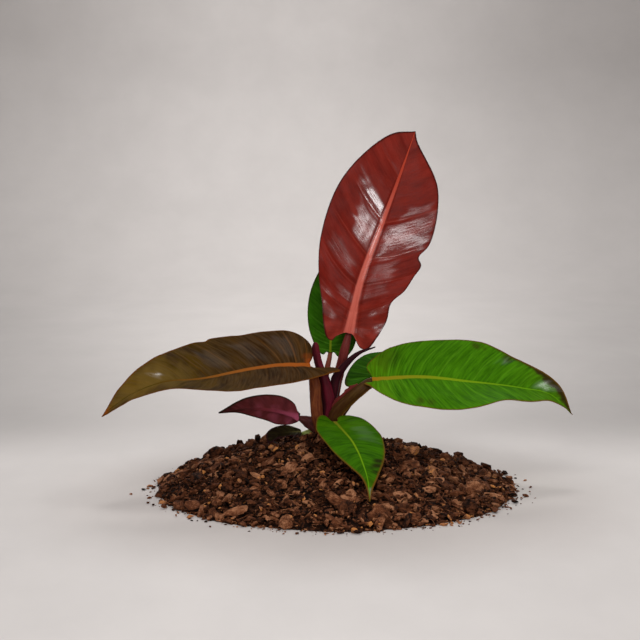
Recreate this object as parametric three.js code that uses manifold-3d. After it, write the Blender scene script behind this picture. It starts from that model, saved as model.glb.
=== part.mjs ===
// A red-leaved philodendron standing in a loose mound of bark potting mix.
// Millimetres, +Z up. The origin is the centre of the mound's flat underside. The large green
// leaf grows towards +X, the bronze leaf towards -X, and the small front leaf towards -Y.

import * as THREE from 'three';
import { mergeVertices } from 'three/addons/utils/BufferGeometryUtils.js';
import Module from 'manifold-3d';

const wasm = await Module();
wasm.setup();

// Clearance between pieces that touch on the plant, and between a leaf and its stem
const seatGap = 0.3;
const jointGap = 0.4;

// Mound of potting mix, banked up in a collar round the crown
const moundRadius = 136;
const moundHeight = 35;
const moundShoulder = 1.8;
const moundLean = 5;
const collarHeight = 8.5;
const collarRadius = 20;
const moundRings = 12;
const moundSectors = 40;
const moundRelief = 2.2;
const moundSeed = 3;
const chipCount = 90;
const chipLength = [11, 24];
const chipThickness = [3.5, 6];
const chipNarrowing = 0.65;
const chipCorners = 5;
const chipTilt = 0.3;
const chipSink = 0.1;
const chipMargin = 10;
const chipClearCentre = 0.04;
const chipSeed = 10;

// Short stem that the leaves grow from, and its roots
const crownFoot = [-6, 2, 16];
const crownTop = [-6, 2, 55];
const crownRadii = [6, 9, 9.5, 9, 5];
const crownSteps = 6;
const crownSides = 12;
const rootCount = 5;
const rootTurn = 0.3;
const rootRise = 5;
const rootReach = 44;
const rootDepth = 12;
const rootRadii = [2.4, 2, 1.6, 1];
const rootSteps = 5;
const rootSides = 6;

// Leaf blades
const bladeThickness = 1;
const veinLag = 1.6;
const veinSweep = 0.06;
const notchReach = 0.25;
const outlineSteps = 200;
const flatCurl = 1e-6;
const midribTaper = [1, 0.75, 0.5];
const midribTip = 0.6;
const midribEnd = 0.9;
const midribSink = 0.3;
const midribSteps = 12;
const midribSides = 5;
const stemTopShare = 0.8;
const stemSides = 8;

// Finishes
const finishes = {
  soil: new THREE.MeshStandardMaterial({ color: 0x3d2617, roughness: 0.95, metalness: 0 }),
  redLeaf: new THREE.MeshStandardMaterial({ color: 0x7a2620, roughness: 0.3, metalness: 0 }),
  bronzeLeaf: new THREE.MeshStandardMaterial({ color: 0x4b3420, roughness: 0.4, metalness: 0 }),
  greenLeaf: new THREE.MeshStandardMaterial({ color: 0x3c7a1c, roughness: 0.4, metalness: 0 }),
  purpleLeaf: new THREE.MeshStandardMaterial({ color: 0x5c1f30, roughness: 0.45, metalness: 0 }),
  maroonStem: new THREE.MeshStandardMaterial({ color: 0x5a1f22, roughness: 0.4, metalness: 0 }),
  brownStem: new THREE.MeshStandardMaterial({ color: 0x5b3320, roughness: 0.5, metalness: 0 }),
};

// Each leaf: the line of its midrib, the way its upper face looks, and its two half outlines.
// An outline point is how far along the midrib it lies and how far out from it. The fold is the
// angle in degrees that a half is raised beside the midrib, and the curl how fast it bends back
// down, in degrees for each millimetre out. Each list of angles runs from base to tip.
const leaves = {
  red: {
    finish: 'redLeaf',
    stations: 20,
    columns: 4,
    midribBase: 3.2,
    midrib: [[9, 5, 118], [18, 11, 157], [33, 19, 197], [48, 30, 236], [60, 42, 269]],
    face: [[0, -1, 0.1], [0, -1, 0.12], [0.1, -1, 0.2]],
    left: {
      outline: [[0, 3], [-4, 9], [-8, 12], [-6, 17], [20, 26], [60, 40], [100, 42], [130, 33],
        [156, 16], [164, 0.4]],
      fold: [20, 16, 12, 6],
      curl: [0.5, 0.4, 0.3, 0.2],
    },
    right: {
      outline: [[0, 3], [-9, 12], [-8, 18], [14, 27], [29, 28], [42, 35], [56, 38], [67, 40],
        [72, 36], [84, 40], [126, 31], [157, 4], [164, 0.4]],
      fold: [28, 24, 14, 6],
      curl: [0.5, 0.4, 0.3, 0.2],
    },
  },
  bronze: {
    finish: 'bronzeLeaf',
    stations: 20,
    columns: 4,
    midribBase: 3,
    midrib: [[-20, -6, 95], [-42, -12, 96], [-66, -20, 94], [-100, -32, 89], [-128, -42, 88],
      [-152, -49, 79], [-171, -54, 65]],
    face: [[0, -0.5, 0.87], [0, -0.45, 0.9], [-0.1, -0.5, 0.85], [-0.6, -0.3, 0.7]],
    left: {
      outline: [[0, 2.5], [-10, 2.5], [-17, 2.6], [-19, 4.5], [-18, 8], [-10, 13], [6, 22],
        [23, 28.5], [40, 35], [72, 39], [106, 30], [153, 14], [164.5, 0.4]],
      fold: [12, 12, 16, 26, 22, 12],
      curl: [0.2, 0, 0, 0],
    },
    right: {
      outline: [[0, 2.5], [-2.5, 7], [-4.5, 12.5], [-3.5, 18.5], [1, 27], [11, 34], [26, 36],
        [44, 36], [66, 38], [70, 36], [80, 38], [114, 26], [150, 8], [164.5, 0.4]],
      fold: [16, 16, 14, 20],
      curl: [0.2, 0.2, 0.3, 0.5],
    },
  },
  green: {
    finish: 'greenLeaf',
    stations: 20,
    columns: 4,
    midribBase: 3.2,
    midrib: [[26, -12, 85.5], [63, -10, 87], [100, -8, 83], [138, -6, 78], [160, -6, 73],
      [177, -8, 58]],
    face: [[0, -0.64, 0.77], [0, -0.62, 0.78], [0, -0.6, 0.8], [0.3, -0.4, 0.8]],
    left: {
      outline: [[0, 3], [-3, 11.5], [8, 23], [20, 29], [38, 34], [84, 39], [110, 27], [124, 21],
        [157, 0.4]],
      fold: [10, 10, 10, 20],
      curl: [0.2, 0.2, 0.2, 0.3],
    },
    right: {
      outline: [[0, 2.5], [-5, 2.6], [-6, 4], [-1.5, 8], [5, 17], [14, 24.5], [26, 30], [44, 34],
        [64, 37], [78, 37.5], [91, 34.5], [116, 23.5], [139, 12], [150, 4], [157, 0.4]],
      fold: [12, 8, 16, 30, 22, 26],
      curl: [0.2, 0.2, 0.2, 0.3],
    },
  },
  front: {
    finish: 'greenLeaf',
    stations: 14,
    columns: 3,
    midribBase: 2.2,
    midrib: [[-2, -21, 55], [4, -34, 51], [11, -54, 46], [17, -75, 37], [21, -93, 26],
      [22, -108, 15]],
    face: [[0.1, -0.3, 0.95], [0.1, -0.4, 0.9], [0.1, -0.6, 0.8]],
    left: {
      outline: [[0, 2.5], [-4, 4], [-7, 8], [-6.5, 13], [-2, 20], [6, 24], [20, 25], [40, 22.5],
        [60, 17], [78, 8], [90, 2.5], [100, 0.4]],
      fold: [6, 4, 4],
      curl: [0.3, 0.3, 0.3],
    },
    right: {
      outline: [[0, 2.5], [-5, 2.6], [-9, 3.5], [-9, 7], [-5, 12], [2, 16.5], [9, 20], [22, 24],
        [33, 25], [46, 22], [58, 17], [69, 10.5], [78, 5], [90, 1.5], [100, 0.4]],
      fold: [16, 16, 14, 10, 10],
      curl: [0.3, 0.3, 0.3],
    },
  },
  back: {
    finish: 'greenLeaf',
    stations: 12,
    columns: 3,
    midribBase: 2.2,
    midrib: [[-5, 16, 102], [-4, 21, 122], [-1, 26, 150], [4, 32, 186]],
    face: [[0, -1, 0.2], [0, -1, 0.25], [0, -1, 0.3]],
    left: {
      outline: [[0, 3], [-2, 5], [0, 9], [20, 18], [44, 19], [70, 10], [86, 0.4]],
      fold: [14, 14, 10],
      curl: [0.3, 0.3, 0.3],
    },
    right: {
      outline: [[0, 3], [-3, 6], [-4, 11], [2, 17], [12, 20], [40, 20], [70, 10], [86, 0.4]],
      fold: [14, 14, 10],
      curl: [0.3, 0.3, 0.3],
    },
  },
  rear: {
    finish: 'greenLeaf',
    stations: 14,
    columns: 3,
    midribBase: 2,
    midrib: [[28, 10, 83], [45, 28, 90], [66, 50, 89], [84, 70, 81], [96, 86, 68]],
    face: [[-0.2, -0.4, 0.9], [-0.2, -0.3, 0.9], [0, -0.2, 0.95]],
    left: {
      outline: [[0, 2], [-19, 3], [-23, 7], [-21, 11], [-4, 21], [20, 27], [60, 22], [84, 12],
        [109, 0.4]],
      fold: [14, 14, 14],
      curl: [0.3, 0.3, 0.3],
    },
    right: {
      outline: [[0, 2], [-8, 5], [-10, 10], [-6, 16], [20, 24], [60, 21], [84, 13], [109, 0.4]],
      fold: [14, 14, 14],
      curl: [0.3, 0.3, 0.3],
    },
  },
  purple: {
    finish: 'purpleLeaf',
    stations: 10,
    columns: 3,
    midribBase: 1.8,
    midrib: [[-28, -2, 56], [-44, -1, 60], [-65, -2, 62], [-89, -7, 59.5]],
    face: [[0, 0.8, 0.6], [0, 0.8, 0.5], [0, 0.6, 0.6]],
    left: {
      outline: [[0, 2], [2.5, 4], [6, 9.5], [11, 12], [18, 13], [33, 11.5], [45, 8.5], [56, 4],
        [63, 0.4]],
      fold: [10, 10, 10],
      curl: [-0.4, -0.4, -0.4],
    },
    right: {
      outline: [[0, 2], [-0.5, 5], [2, 8.5], [7, 12.5], [16, 15], [24, 12.5], [38, 8], [50, 3],
        [63, 0.4]],
      fold: [0, 0, 0],
      curl: [-0.4, -0.4, -0.4],
    },
  },
  low: {
    finish: 'greenLeaf',
    stations: 8,
    columns: 2,
    midribBase: 1.5,
    midrib: [[-27, 2, 43], [-36, 0, 43], [-45, -2, 41.5], [-52, -4, 36]],
    face: [[0, -0.5, 0.87], [0, -0.4, 0.9], [0, -0.3, 0.95]],
    left: {
      outline: [[0, 2], [6, 6], [18, 6.5], [25, 4], [28, 0.4]],
      fold: [14, 14, 14],
      curl: [0.3, 0.3, 0.3],
    },
    right: {
      outline: [[0, 2], [6, 6], [12, 8], [20, 8.5], [25, 6], [28, 0.4]],
      fold: [14, 14, 14],
      curl: [0.3, 0.3, 0.3],
    },
  },
};

// Each stem: points that its middle runs through, and half its width and half its depth from
// foot to top. A stem with a leaf goes on to that leaf's base. The inner stems come first, and
// each later one clasps those before it.
const facingFront = [1, 0, 0.3];
const stems = {
  new_shoot: {
    finish: 'maroonStem',
    path: [[-3, 0, 52], [-2, -1.5, 67], [-1.5, -3, 76], [-1, -4, 85], [4, -5.5, 93],
      [10.5, -7, 100.5], [17, -8, 105.5], [28.5, -9, 109.7]],
    width: [1.6, 1.6, 2.2, 3.6, 3, 2.2, 1.4, 0.5],
    depth: [1.4, 1.4, 1.8, 2.2, 2.2, 1.8, 1.2, 0.5],
    steps: 14,
  },
  petiole_red: {
    finish: 'maroonStem',
    leaf: 'red',
    path: [[-5, 4, 48], [-3, 5, 62], [-1, 6, 76], [3, 6.5, 93], [6, 5.5, 106]],
    width: [4.6, 4.2, 3.9, 3.7, 3.4],
    depth: [3.6, 3.4, 3.4, 3.3, 3],
    steps: 9,
  },
  magenta_sheath: {
    finish: 'maroonStem',
    path: [[-9, -2, 47], [-8, -4, 57], [-6.8, -4.2, 66], [-8.6, -3.5, 76], [-10.6, -3, 85.5],
      [-13.7, -2.5, 96], [-15.8, -2, 106], [-16.2, -2, 112.5]],
    width: [3.4, 3, 3.6, 4.5, 4, 2.4, 2.5, 1.4],
    depth: [2, 2.2, 2.4, 2.8, 2.6, 2, 1.8, 1],
    steps: 12,
  },
  petiole_back: {
    finish: 'maroonStem',
    leaf: 'back',
    path: [[-8, 6, 48], [-9.5, 10, 62], [-9, 13, 80]],
    width: [3.6, 3, 2.4],
    depth: [3, 2.6, 2.2],
    steps: 7,
  },
  petiole_rear: {
    finish: 'brownStem',
    leaf: 'rear',
    path: [[-2, 4, 47], [6, 7, 60], [15, 8, 71]],
    width: [3.4, 3, 2.4],
    depth: [3, 2.6, 2.2],
    steps: 7,
  },
  petiole_bronze: {
    finish: 'brownStem',
    leaf: 'bronze',
    path: [[-11, -4, 44], [-14.6, -7.5, 56], [-16, -8.5, 70], [-16.8, -8.7, 82]],
    width: [5, 4.6, 4.4, 4],
    depth: [4, 3.6, 3.4, 3],
    steps: 10,
  },
  petiole_green: {
    finish: 'brownStem',
    leaf: 'green',
    path: [[-4, -3, 47], [0, -7.5, 60], [8.5, -11, 70], [17.5, -13, 78]],
    width: [5, 5, 4.8, 4.3],
    depth: [3.6, 3.6, 3.4, 3.2],
    across: [-0.7, 0, 0.7],
    steps: 9,
  },
  petiole_front: {
    finish: 'brownStem',
    leaf: 'front',
    path: [[-5, -4, 44], [-4.5, -11, 48], [-3.5, -16, 52]],
    width: [3.2, 2.8, 2.4],
    depth: [2.8, 2.6, 2.2],
    steps: 5,
  },
  petiole_purple: {
    finish: 'brownStem',
    leaf: 'purple',
    path: [[-9, -1, 46], [-16, -2, 49], [-22, -2, 51.8]],
    width: [5.6, 5.2, 4],
    depth: [3.6, 3.2, 2.4],
    across: [-0.5, 0, 0.9],
    steps: 6,
  },
  petiole_low: {
    finish: 'brownStem',
    leaf: 'low',
    path: [[-11, 3, 44], [-19, 3, 43]],
    width: [3.2, 2.6],
    depth: [2.6, 2],
    steps: 4,
  },
};

const vector = (values) => new THREE.Vector3(...values);
const curveThrough = (points) => new THREE.CatmullRomCurve3(points, false, 'centripetal');

// A seeded random number from 0 to 1, the same on every run.
function randomFrom(seed) {
  let state = seed;
  return () => {
    state = (state + 0x6d2b79f5) | 0;
    let mixed = Math.imul(state ^ (state >>> 15), 1 | state);
    mixed = (mixed + Math.imul(mixed ^ (mixed >>> 7), 61 | mixed)) ^ mixed;
    return ((mixed ^ (mixed >>> 14)) >>> 0) / 4294967296;
  };
}

// The value at t, from 0 to 1, of evenly spaced keys.
function valueAt(keys, t) {
  const place = THREE.MathUtils.clamp(t, 0, 1) * (keys.length - 1);
  const index = Math.min(Math.floor(place), keys.length - 2);
  return THREE.MathUtils.lerp(keys[index], keys[index + 1], place - index);
}

function directionAt(keys, t) {
  return vector([0, 1, 2].map((axis) => valueAt(keys.map((key) => key[axis]), t)));
}

// The part of a direction that is square to a line, at length 1.
function squareTo(direction, line) {
  return direction.clone().addScaledVector(line, -direction.dot(line)).normalize();
}

function solidFromTriangles(points, triangles) {
  const mesh = new wasm.Mesh({
    numProp: 3,
    vertProperties: new Float32Array(points.flatMap((point) => point.toArray())),
    triVerts: new Uint32Array(triangles.flat()),
  });
  return new wasm.Manifold(mesh);
}

function solidFromGeometry(geometry) {
  geometry.deleteAttribute('normal');
  geometry.deleteAttribute('uv');
  const merged = mergeVertices(geometry, 1e-4);
  const mesh = new wasm.Mesh({
    numProp: 3,
    vertProperties: merged.attributes.position.array,
    triVerts: new Uint32Array(merged.index.array),
  });
  return new wasm.Manifold(mesh);
}

function namedMesh(name, solid, finish) {
  const result = solid.getMesh();
  const geometry = new THREE.BufferGeometry();
  geometry.setAttribute('position', new THREE.BufferAttribute(result.vertProperties, 3));
  geometry.setIndex(new THREE.BufferAttribute(result.triVerts, 1));
  geometry.computeVertexNormals();
  const mesh = new THREE.Mesh(geometry, finishes[finish]);
  mesh.name = name;
  return mesh;
}

// A closed solid through rings of points that run the same way round.
function solidThroughRings(rings) {
  const sides = rings[0].length;
  const triangles = [];
  for (let ring = 0; ring < rings.length - 1; ring += 1) {
    for (let side = 0; side < sides; side += 1) {
      const next = (side + 1) % sides;
      const low = ring * sides;
      const high = low + sides;
      triangles.push([low + side, low + next, high + next]);
      triangles.push([low + side, high + next, high + side]);
    }
  }
  const last = (rings.length - 1) * sides;
  for (let side = 1; side < sides - 1; side += 1) {
    triangles.push([0, side + 1, side]);
    triangles.push([last, last + side, last + side + 1]);
  }
  return solidFromTriangles(rings.flat(), triangles);
}

// An oval rod along a path, its section turned so that its width lies along across.
function rod({ points, width, depth, across, steps, sides, endDirection }, grow = 0) {
  const path = curveThrough(points);
  const rings = [];
  for (let step = 0; step <= steps; step += 1) {
    const t = step / steps;
    const atEnd = step === steps && endDirection;
    const forward = atEnd ? endDirection : path.getTangentAt(t);
    const wide = squareTo(across, forward);
    const deep = new THREE.Vector3().crossVectors(forward, wide);
    const centre = path.getPointAt(t);
    if (step === 0) centre.addScaledVector(forward, -grow);
    if (step === steps) centre.addScaledVector(forward, grow);
    const ring = [];
    for (let side = 0; side < sides; side += 1) {
      const angle = (2 * Math.PI * side) / sides;
      const point = centre.clone();
      point.addScaledVector(wide, Math.cos(angle) * (valueAt(width, t) + grow));
      point.addScaledVector(deep, Math.sin(angle) * (valueAt(depth, t) + grow));
      ring.push(point);
    }
    rings.push(ring);
  }
  return solidThroughRings(rings);
}

// Where the midrib is, and which ways are forward, up and right, a distance along a leaf.
function leafFrame(leaf) {
  const path = curveThrough(leaf.midrib.map(vector));
  const length = path.getLength();
  return (along) => {
    const t = THREE.MathUtils.clamp(along / length, 0, 1);
    const forward = path.getTangentAt(t);
    const up = squareTo(directionAt(leaf.face, t), forward);
    const right = new THREE.Vector3().crossVectors(forward, up);
    const centre = path.getPointAt(t).addScaledVector(forward, Math.min(along, 0));
    return { t, length, centre, forward, up, right };
  };
}

// The point of a blade that lies along and out from its midrib, on one side.
function bladePoint(frame, half, side, along, out) {
  const { t, centre, up, right } = frame(along);
  const fold = THREE.MathUtils.degToRad(valueAt(half.fold, t));
  const curl = THREE.MathUtils.degToRad(valueAt(half.curl, t)) || flatCurl;
  const across = (Math.sin(fold) - Math.sin(fold - curl * out)) / curl;
  const rise = (Math.cos(fold - curl * out) - Math.cos(fold)) / curl;
  return centre.clone().addScaledVector(right, side * across).addScaledVector(up, rise);
}

// A half's outline in two stretches: the notch edge from the midrib's foot out to the tip of
// the base lobe, and the margin from there to the leaf's tip. Each gives the point at t, 0 to 1.
function outlineStretches(half) {
  const corners = [[0, 0], ...half.outline].map(([along, out]) => vector([along, out, 0]));
  const curve = curveThrough(corners);
  const points = curve.getSpacedPoints(outlineSteps);
  const notchWidth = half.outline[0][1];
  let lobe = points.findIndex((point) => point.y >= notchWidth);
  points.forEach((point, index) => {
    if (index > lobe && point.x < points[lobe].x) lobe = index;
  });
  const share = lobe / outlineSteps;
  return {
    notch: (t) => curve.getPointAt(share * t),
    margin: (t) => curve.getPointAt(share + (1 - share) * t),
  };
}

// The middle surface of a blade as rows from its base to its tip, each row running from the
// left margin along a side vein to the midrib, and out again to the right margin. The first
// row follows the edges of the notch, and the next rows keep a little of its bend.
function bladeRows(leaf) {
  const frame = leafFrame(leaf);
  const { length } = frame(0);
  const stretches = [leaf.left, leaf.right].map(outlineStretches);
  const rows = [];
  for (let station = 0; station <= leaf.stations; station += 1) {
    const share = station / leaf.stations;
    const veinFoot = length * share ** veinLag;
    const notchBend = Math.max(0, 1 - share / notchReach) ** 2;
    const row = [];
    for (let column = -leaf.columns; column <= leaf.columns; column += 1) {
      const side = column < 0 ? 0 : 1;
      const { notch, margin } = stretches[side];
      const edge = margin(share);
      const reach = Math.abs(column) / leaf.columns;
      const bend = notch(reach).addScaledVector(notch(1), -reach).multiplyScalar(notchBend);
      const sweep = veinSweep * Math.sin(Math.PI * reach) * edge.y * (1 - notchBend);
      const along = THREE.MathUtils.lerp(veinFoot, edge.x, reach) - sweep + bend.x;
      const out = reach * edge.y + bend.y;
      const half = side ? leaf.right : leaf.left;
      row.push(bladePoint(frame, half, side ? 1 : -1, along, out));
    }
    rows.push(row);
  }
  return rows;
}

// A thin blade round its middle surface, both faces split into the same triangles.
function bladeSolid(leaf, grow = 0) {
  const rows = bladeRows(leaf);
  const last = rows.length - 1;
  const width = rows[0].length;
  const upper = [];
  const lower = [];
  rows.forEach((row, station) => {
    row.forEach((point, column) => {
      const before = rows[Math.max(station - 1, 0)][column];
      const after = rows[Math.min(station + 1, last)][column];
      const along = new THREE.Vector3().subVectors(after, before);
      const inner = row[Math.max(column - 1, 0)];
      const outer = row[Math.min(column + 1, width - 1)];
      const out = new THREE.Vector3().subVectors(outer, inner);
      const normal = new THREE.Vector3().crossVectors(out, along).normalize();
      const edge = point.clone();
      out.normalize();
      along.normalize();
      if (column === 0) edge.addScaledVector(out, -grow);
      if (column === width - 1) edge.addScaledVector(out, grow);
      if (station === 0) edge.addScaledVector(along, -grow);
      if (station === last) edge.addScaledVector(along, grow);
      upper.push(edge.clone().addScaledVector(normal, bladeThickness / 2 + grow));
      lower.push(edge.clone().addScaledVector(normal, -bladeThickness / 2 - grow));
    });
  });
  const under = upper.length;
  const triangles = [];
  for (let station = 0; station < last; station += 1) {
    for (let column = 0; column < width - 1; column += 1) {
      const a = station * width + column;
      const b = a + 1;
      const c = a + width;
      const d = c + 1;
      triangles.push([a, b, d], [a, d, c]);
      triangles.push([under + a, under + d, under + b], [under + a, under + c, under + d]);
    }
  }
  const rim = [];
  for (let column = 0; column < width - 1; column += 1) rim.push(column);
  for (let station = 0; station < last; station += 1) rim.push(station * width + width - 1);
  for (let column = width - 1; column > 0; column -= 1) rim.push(last * width + column);
  for (let station = last; station > 0; station -= 1) rim.push(station * width);
  rim.forEach((from, index) => {
    const to = rim[(index + 1) % rim.length];
    triangles.push([from, under + from, under + to], [from, under + to, to]);
  });
  return solidFromTriangles(upper.concat(lower), triangles);
}

// The round rib under a blade, which starts square at the leaf's base.
function midribSolid(leaf, grow = 0) {
  const frame = leafFrame(leaf);
  const { length } = frame(0);
  const radii = [...midribTaper.map((share) => leaf.midribBase * share), midribTip];
  const points = [];
  for (let step = 0; step <= midribSteps; step += 1) {
    const t = step / midribSteps;
    const { centre, up } = frame(length * midribEnd * t);
    points.push(centre.clone().addScaledVector(up, midribSink - valueAt(radii, t)));
  }
  const across = frame(0).right;
  const section = { width: radii, depth: radii, across };
  return rod({ points, ...section, steps: midribSteps, sides: midribSides }, grow);
}

// A stem, which under a leaf ends just short of the foot of its midrib and faces it squarely.
function stemSolid(stem, grow = 0) {
  const { width, depth, steps } = stem;
  const points = stem.path.map(vector);
  const across = vector(stem.across ?? facingFront);
  const shape = { points, width, depth, across, steps, sides: stemSides };
  if (stem.leaf) {
    const { midribBase } = leaves[stem.leaf];
    const { centre, forward, up } = leafFrame(leaves[stem.leaf])(0);
    centre.addScaledVector(up, -midribBase).addScaledVector(forward, -jointGap);
    points.push(centre);
    shape.width = [...width, midribBase * stemTopShare];
    shape.depth = [...depth, midribBase * stemTopShare];
    shape.endDirection = forward;
  }
  return rod(shape, grow);
}

function crownSolid(grow = 0) {
  const foot = vector(crownFoot);
  const top = vector(crownTop);
  const middle = foot.clone().lerp(top, 0.5);
  const across = vector([1, 0, 0]);
  const stump = { points: [foot, middle, top], width: crownRadii, depth: crownRadii };
  const pieces = [rod({ ...stump, across, steps: crownSteps, sides: crownSides }, grow)];
  for (let root = 0; root < rootCount; root += 1) {
    const angle = (2 * Math.PI * (root + rootTurn)) / rootCount;
    const outward = vector([Math.cos(angle), Math.sin(angle), 0]);
    const points = [0, 0.3, 0.65, 1].map((t) => {
      const point = foot.clone().addScaledVector(outward, rootReach * t);
      point.z += rootRise - rootDepth * t * t;
      return point;
    });
    const shape = { points, width: rootRadii, depth: rootRadii, across: vector([0, 0, 1]) };
    pieces.push(rod({ ...shape, steps: rootSteps, sides: rootSides }, grow));
  }
  return wasm.Manifold.union(pieces);
}

// Height of the mound's surface, a little fuller towards -X and banked up round the crown.
function moundSurface(x, y) {
  const reach = Math.min(Math.hypot(x, y) / moundRadius, 1);
  const lean = (-x / moundRadius) * moundLean * 4 * reach * (1 - reach);
  const fromCrown = Math.hypot(x - crownTop[0], y - crownTop[1]) / collarRadius;
  const collar = collarHeight * Math.exp(-fromCrown * fromCrown);
  return moundHeight * (1 - reach ** moundShoulder) + lean + collar;
}

// The way that the mound's surface faces, from its height one millimetre to each side.
function moundNormal(x, y) {
  const slopeX = moundSurface(x + 1, y) - moundSurface(x - 1, y);
  const slopeY = moundSurface(x, y + 1) - moundSurface(x, y - 1);
  return vector([-slopeX, -slopeY, 2]).normalize();
}

// The body of the mound, its surface broken into facets about as large as the bark.
function moundSolid() {
  const random = randomFrom(moundSeed);
  const points = [vector([0, 0, 0]), vector([0, 0, moundSurface(0, 0)])];
  const triangles = [];
  for (let ring = 1; ring <= moundRings; ring += 1) {
    const radius = (moundRadius * ring) / moundRings;
    for (let sector = 0; sector < moundSectors; sector += 1) {
      const angle = (2 * Math.PI * sector) / moundSectors;
      const x = radius * Math.cos(angle);
      const y = radius * Math.sin(angle);
      const relief = moundRelief * (2 * random() - 1);
      points.push(vector([x, y, ring === moundRings ? 0 : moundSurface(x, y) + relief]));
    }
  }
  for (let sector = 0; sector < moundSectors; sector += 1) {
    const next = (sector + 1) % moundSectors;
    triangles.push([1, 2 + sector, 2 + next]);
    for (let ring = 1; ring < moundRings; ring += 1) {
      const inner = 2 + (ring - 1) * moundSectors;
      const outer = inner + moundSectors;
      triangles.push([inner + sector, outer + sector, outer + next]);
      triangles.push([inner + sector, outer + next, inner + next]);
    }
    const rim = 2 + (moundRings - 1) * moundSectors;
    triangles.push([0, rim + next, rim + sector]);
  }
  return solidFromTriangles(points, triangles);
}

// Flat flakes of bark with five uneven corners, lying half sunk along the mound's surface.
function barkChips() {
  const random = randomFrom(chipSeed);
  const pick = ([low, high]) => THREE.MathUtils.lerp(low, high, random());
  const chips = [];
  for (let chip = 0; chip < chipCount; chip += 1) {
    const length = pick(chipLength);
    const thickness = pick(chipThickness);
    const corners = [];
    for (let corner = 0; corner < chipCorners; corner += 1) {
      const angle = (2 * Math.PI * (corner + 0.5 * random())) / chipCorners;
      const reach = (length / 2) * (0.8 + 0.3 * random());
      corners.push(new THREE.Vector2(Math.cos(angle), Math.sin(angle) * chipNarrowing));
      corners[corner].multiplyScalar(reach);
    }
    const outline = new THREE.Shape(corners);
    const flake = new THREE.ExtrudeGeometry(outline, { depth: thickness, bevelEnabled: false });
    flake.translate(0, 0, -thickness / 2);
    const spread = Math.sqrt(THREE.MathUtils.lerp(chipClearCentre, 1, random()));
    const distance = (moundRadius - chipMargin) * spread;
    const direction = 2 * Math.PI * random();
    const x = distance * Math.cos(direction);
    const y = distance * Math.sin(direction);
    const turn = new THREE.Euler(
      chipTilt * (2 * random() - 1),
      chipTilt * (2 * random() - 1),
      2 * Math.PI * random(),
    );
    const lean = new THREE.Quaternion().setFromUnitVectors(vector([0, 0, 1]), moundNormal(x, y));
    flake.applyQuaternion(lean.multiply(new THREE.Quaternion().setFromEuler(turn)));
    flake.translate(x, y, moundSurface(x, y) - chipSink * thickness);
    chips.push(solidFromGeometry(flake));
  }
  return chips;
}

// Everything below the surface that the mound stands on.
function groundSolid() {
  const size = 4 * moundRadius;
  const block = new THREE.BoxGeometry(size, size, moundHeight);
  block.translate(0, 0, -moundHeight / 2);
  return solidFromGeometry(block);
}

const plant = new THREE.Group();
const grownPieces = [crownSolid(seatGap)];

for (const [name, stem] of Object.entries(stems)) {
  let solid = stemSolid(stem);
  for (const neighbour of grownPieces) solid = solid.subtract(neighbour);
  plant.add(namedMesh(name, solid, stem.finish));
  grownPieces.push(stemSolid(stem, seatGap));
}

for (const [name, leaf] of Object.entries(leaves)) {
  const solid = bladeSolid(leaf).add(midribSolid(leaf));
  plant.add(namedMesh(`leaf_${name}`, solid, leaf.finish));
  grownPieces.push(bladeSolid(leaf, seatGap), midribSolid(leaf, seatGap));
}

plant.add(namedMesh('crown_and_roots', crownSolid(), 'brownStem'));

let soil = wasm.Manifold.union([moundSolid(), ...barkChips()]).subtract(groundSolid());
for (const neighbour of grownPieces) soil = soil.subtract(neighbour);
plant.add(namedMesh('soil_mound', soil, 'soil'));

export default plant;
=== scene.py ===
"""A young philodendron in a loose mound of bark potting mix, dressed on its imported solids.

It is laid out as a Blender add-on and run as a script. Lengths in the tables are real sizes in
millimetres, in the part's own frame: +Z up, and -Y towards the side that is seen from the front.
Blender's scene is in metres.
"""

import math

import bmesh
import bpy
import numpy as np
from bpy.props import FloatProperty, FloatVectorProperty, IntProperty, PointerProperty
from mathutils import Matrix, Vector


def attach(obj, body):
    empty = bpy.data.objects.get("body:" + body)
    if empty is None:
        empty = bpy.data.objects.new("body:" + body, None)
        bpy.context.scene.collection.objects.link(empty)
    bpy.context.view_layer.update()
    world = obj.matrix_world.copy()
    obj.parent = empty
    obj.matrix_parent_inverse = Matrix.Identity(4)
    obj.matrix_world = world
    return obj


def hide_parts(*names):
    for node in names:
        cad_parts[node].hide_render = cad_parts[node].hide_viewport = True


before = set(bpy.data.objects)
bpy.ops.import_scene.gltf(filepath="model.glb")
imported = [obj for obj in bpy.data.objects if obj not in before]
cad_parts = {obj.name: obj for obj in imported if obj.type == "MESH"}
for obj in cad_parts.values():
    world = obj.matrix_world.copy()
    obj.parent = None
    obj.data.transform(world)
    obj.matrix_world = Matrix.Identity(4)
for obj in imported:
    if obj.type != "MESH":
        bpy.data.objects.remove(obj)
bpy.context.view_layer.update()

bl_info = {
    "name": "Philodendron in Potting Soil",
    "version": (1, 0, 0),
    "blender": (4, 5, 0),
    "location": "3D View > Sidebar > Philodendron",
    "description": "Builds a red-leaved philodendron standing in a mound of bark potting mix",
    "category": "Object",
}

MM = 0.001

# Sockets of the Mix node where it blends two colours
MIX_SHARE, MIX_FIRST, MIX_SECOND, MIX_RESULT = 0, 6, 7, 2


def linear(hex_colour):
    """The linear RGBA of an sRGB hex colour."""
    channels = [int(hex_colour[i : i + 2], 16) / 255 for i in (0, 2, 4)]
    return [c / 12.92 if c <= 0.04045 else ((c + 0.055) / 1.055) ** 2.4 for c in channels] + [1]


def colour_setting(name, description, hex_colour):
    return FloatVectorProperty(
        name=name,
        description=description,
        subtype="COLOR",
        size=4,
        min=0,
        max=1,
        default=linear(hex_colour),
    )


def length_setting(name, description, millimetres):
    return FloatProperty(
        name=name,
        description=description,
        default=millimetres * MM,
        min=0,
        precision=4,
        subtype="DISTANCE",
        unit="LENGTH",
    )


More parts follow.
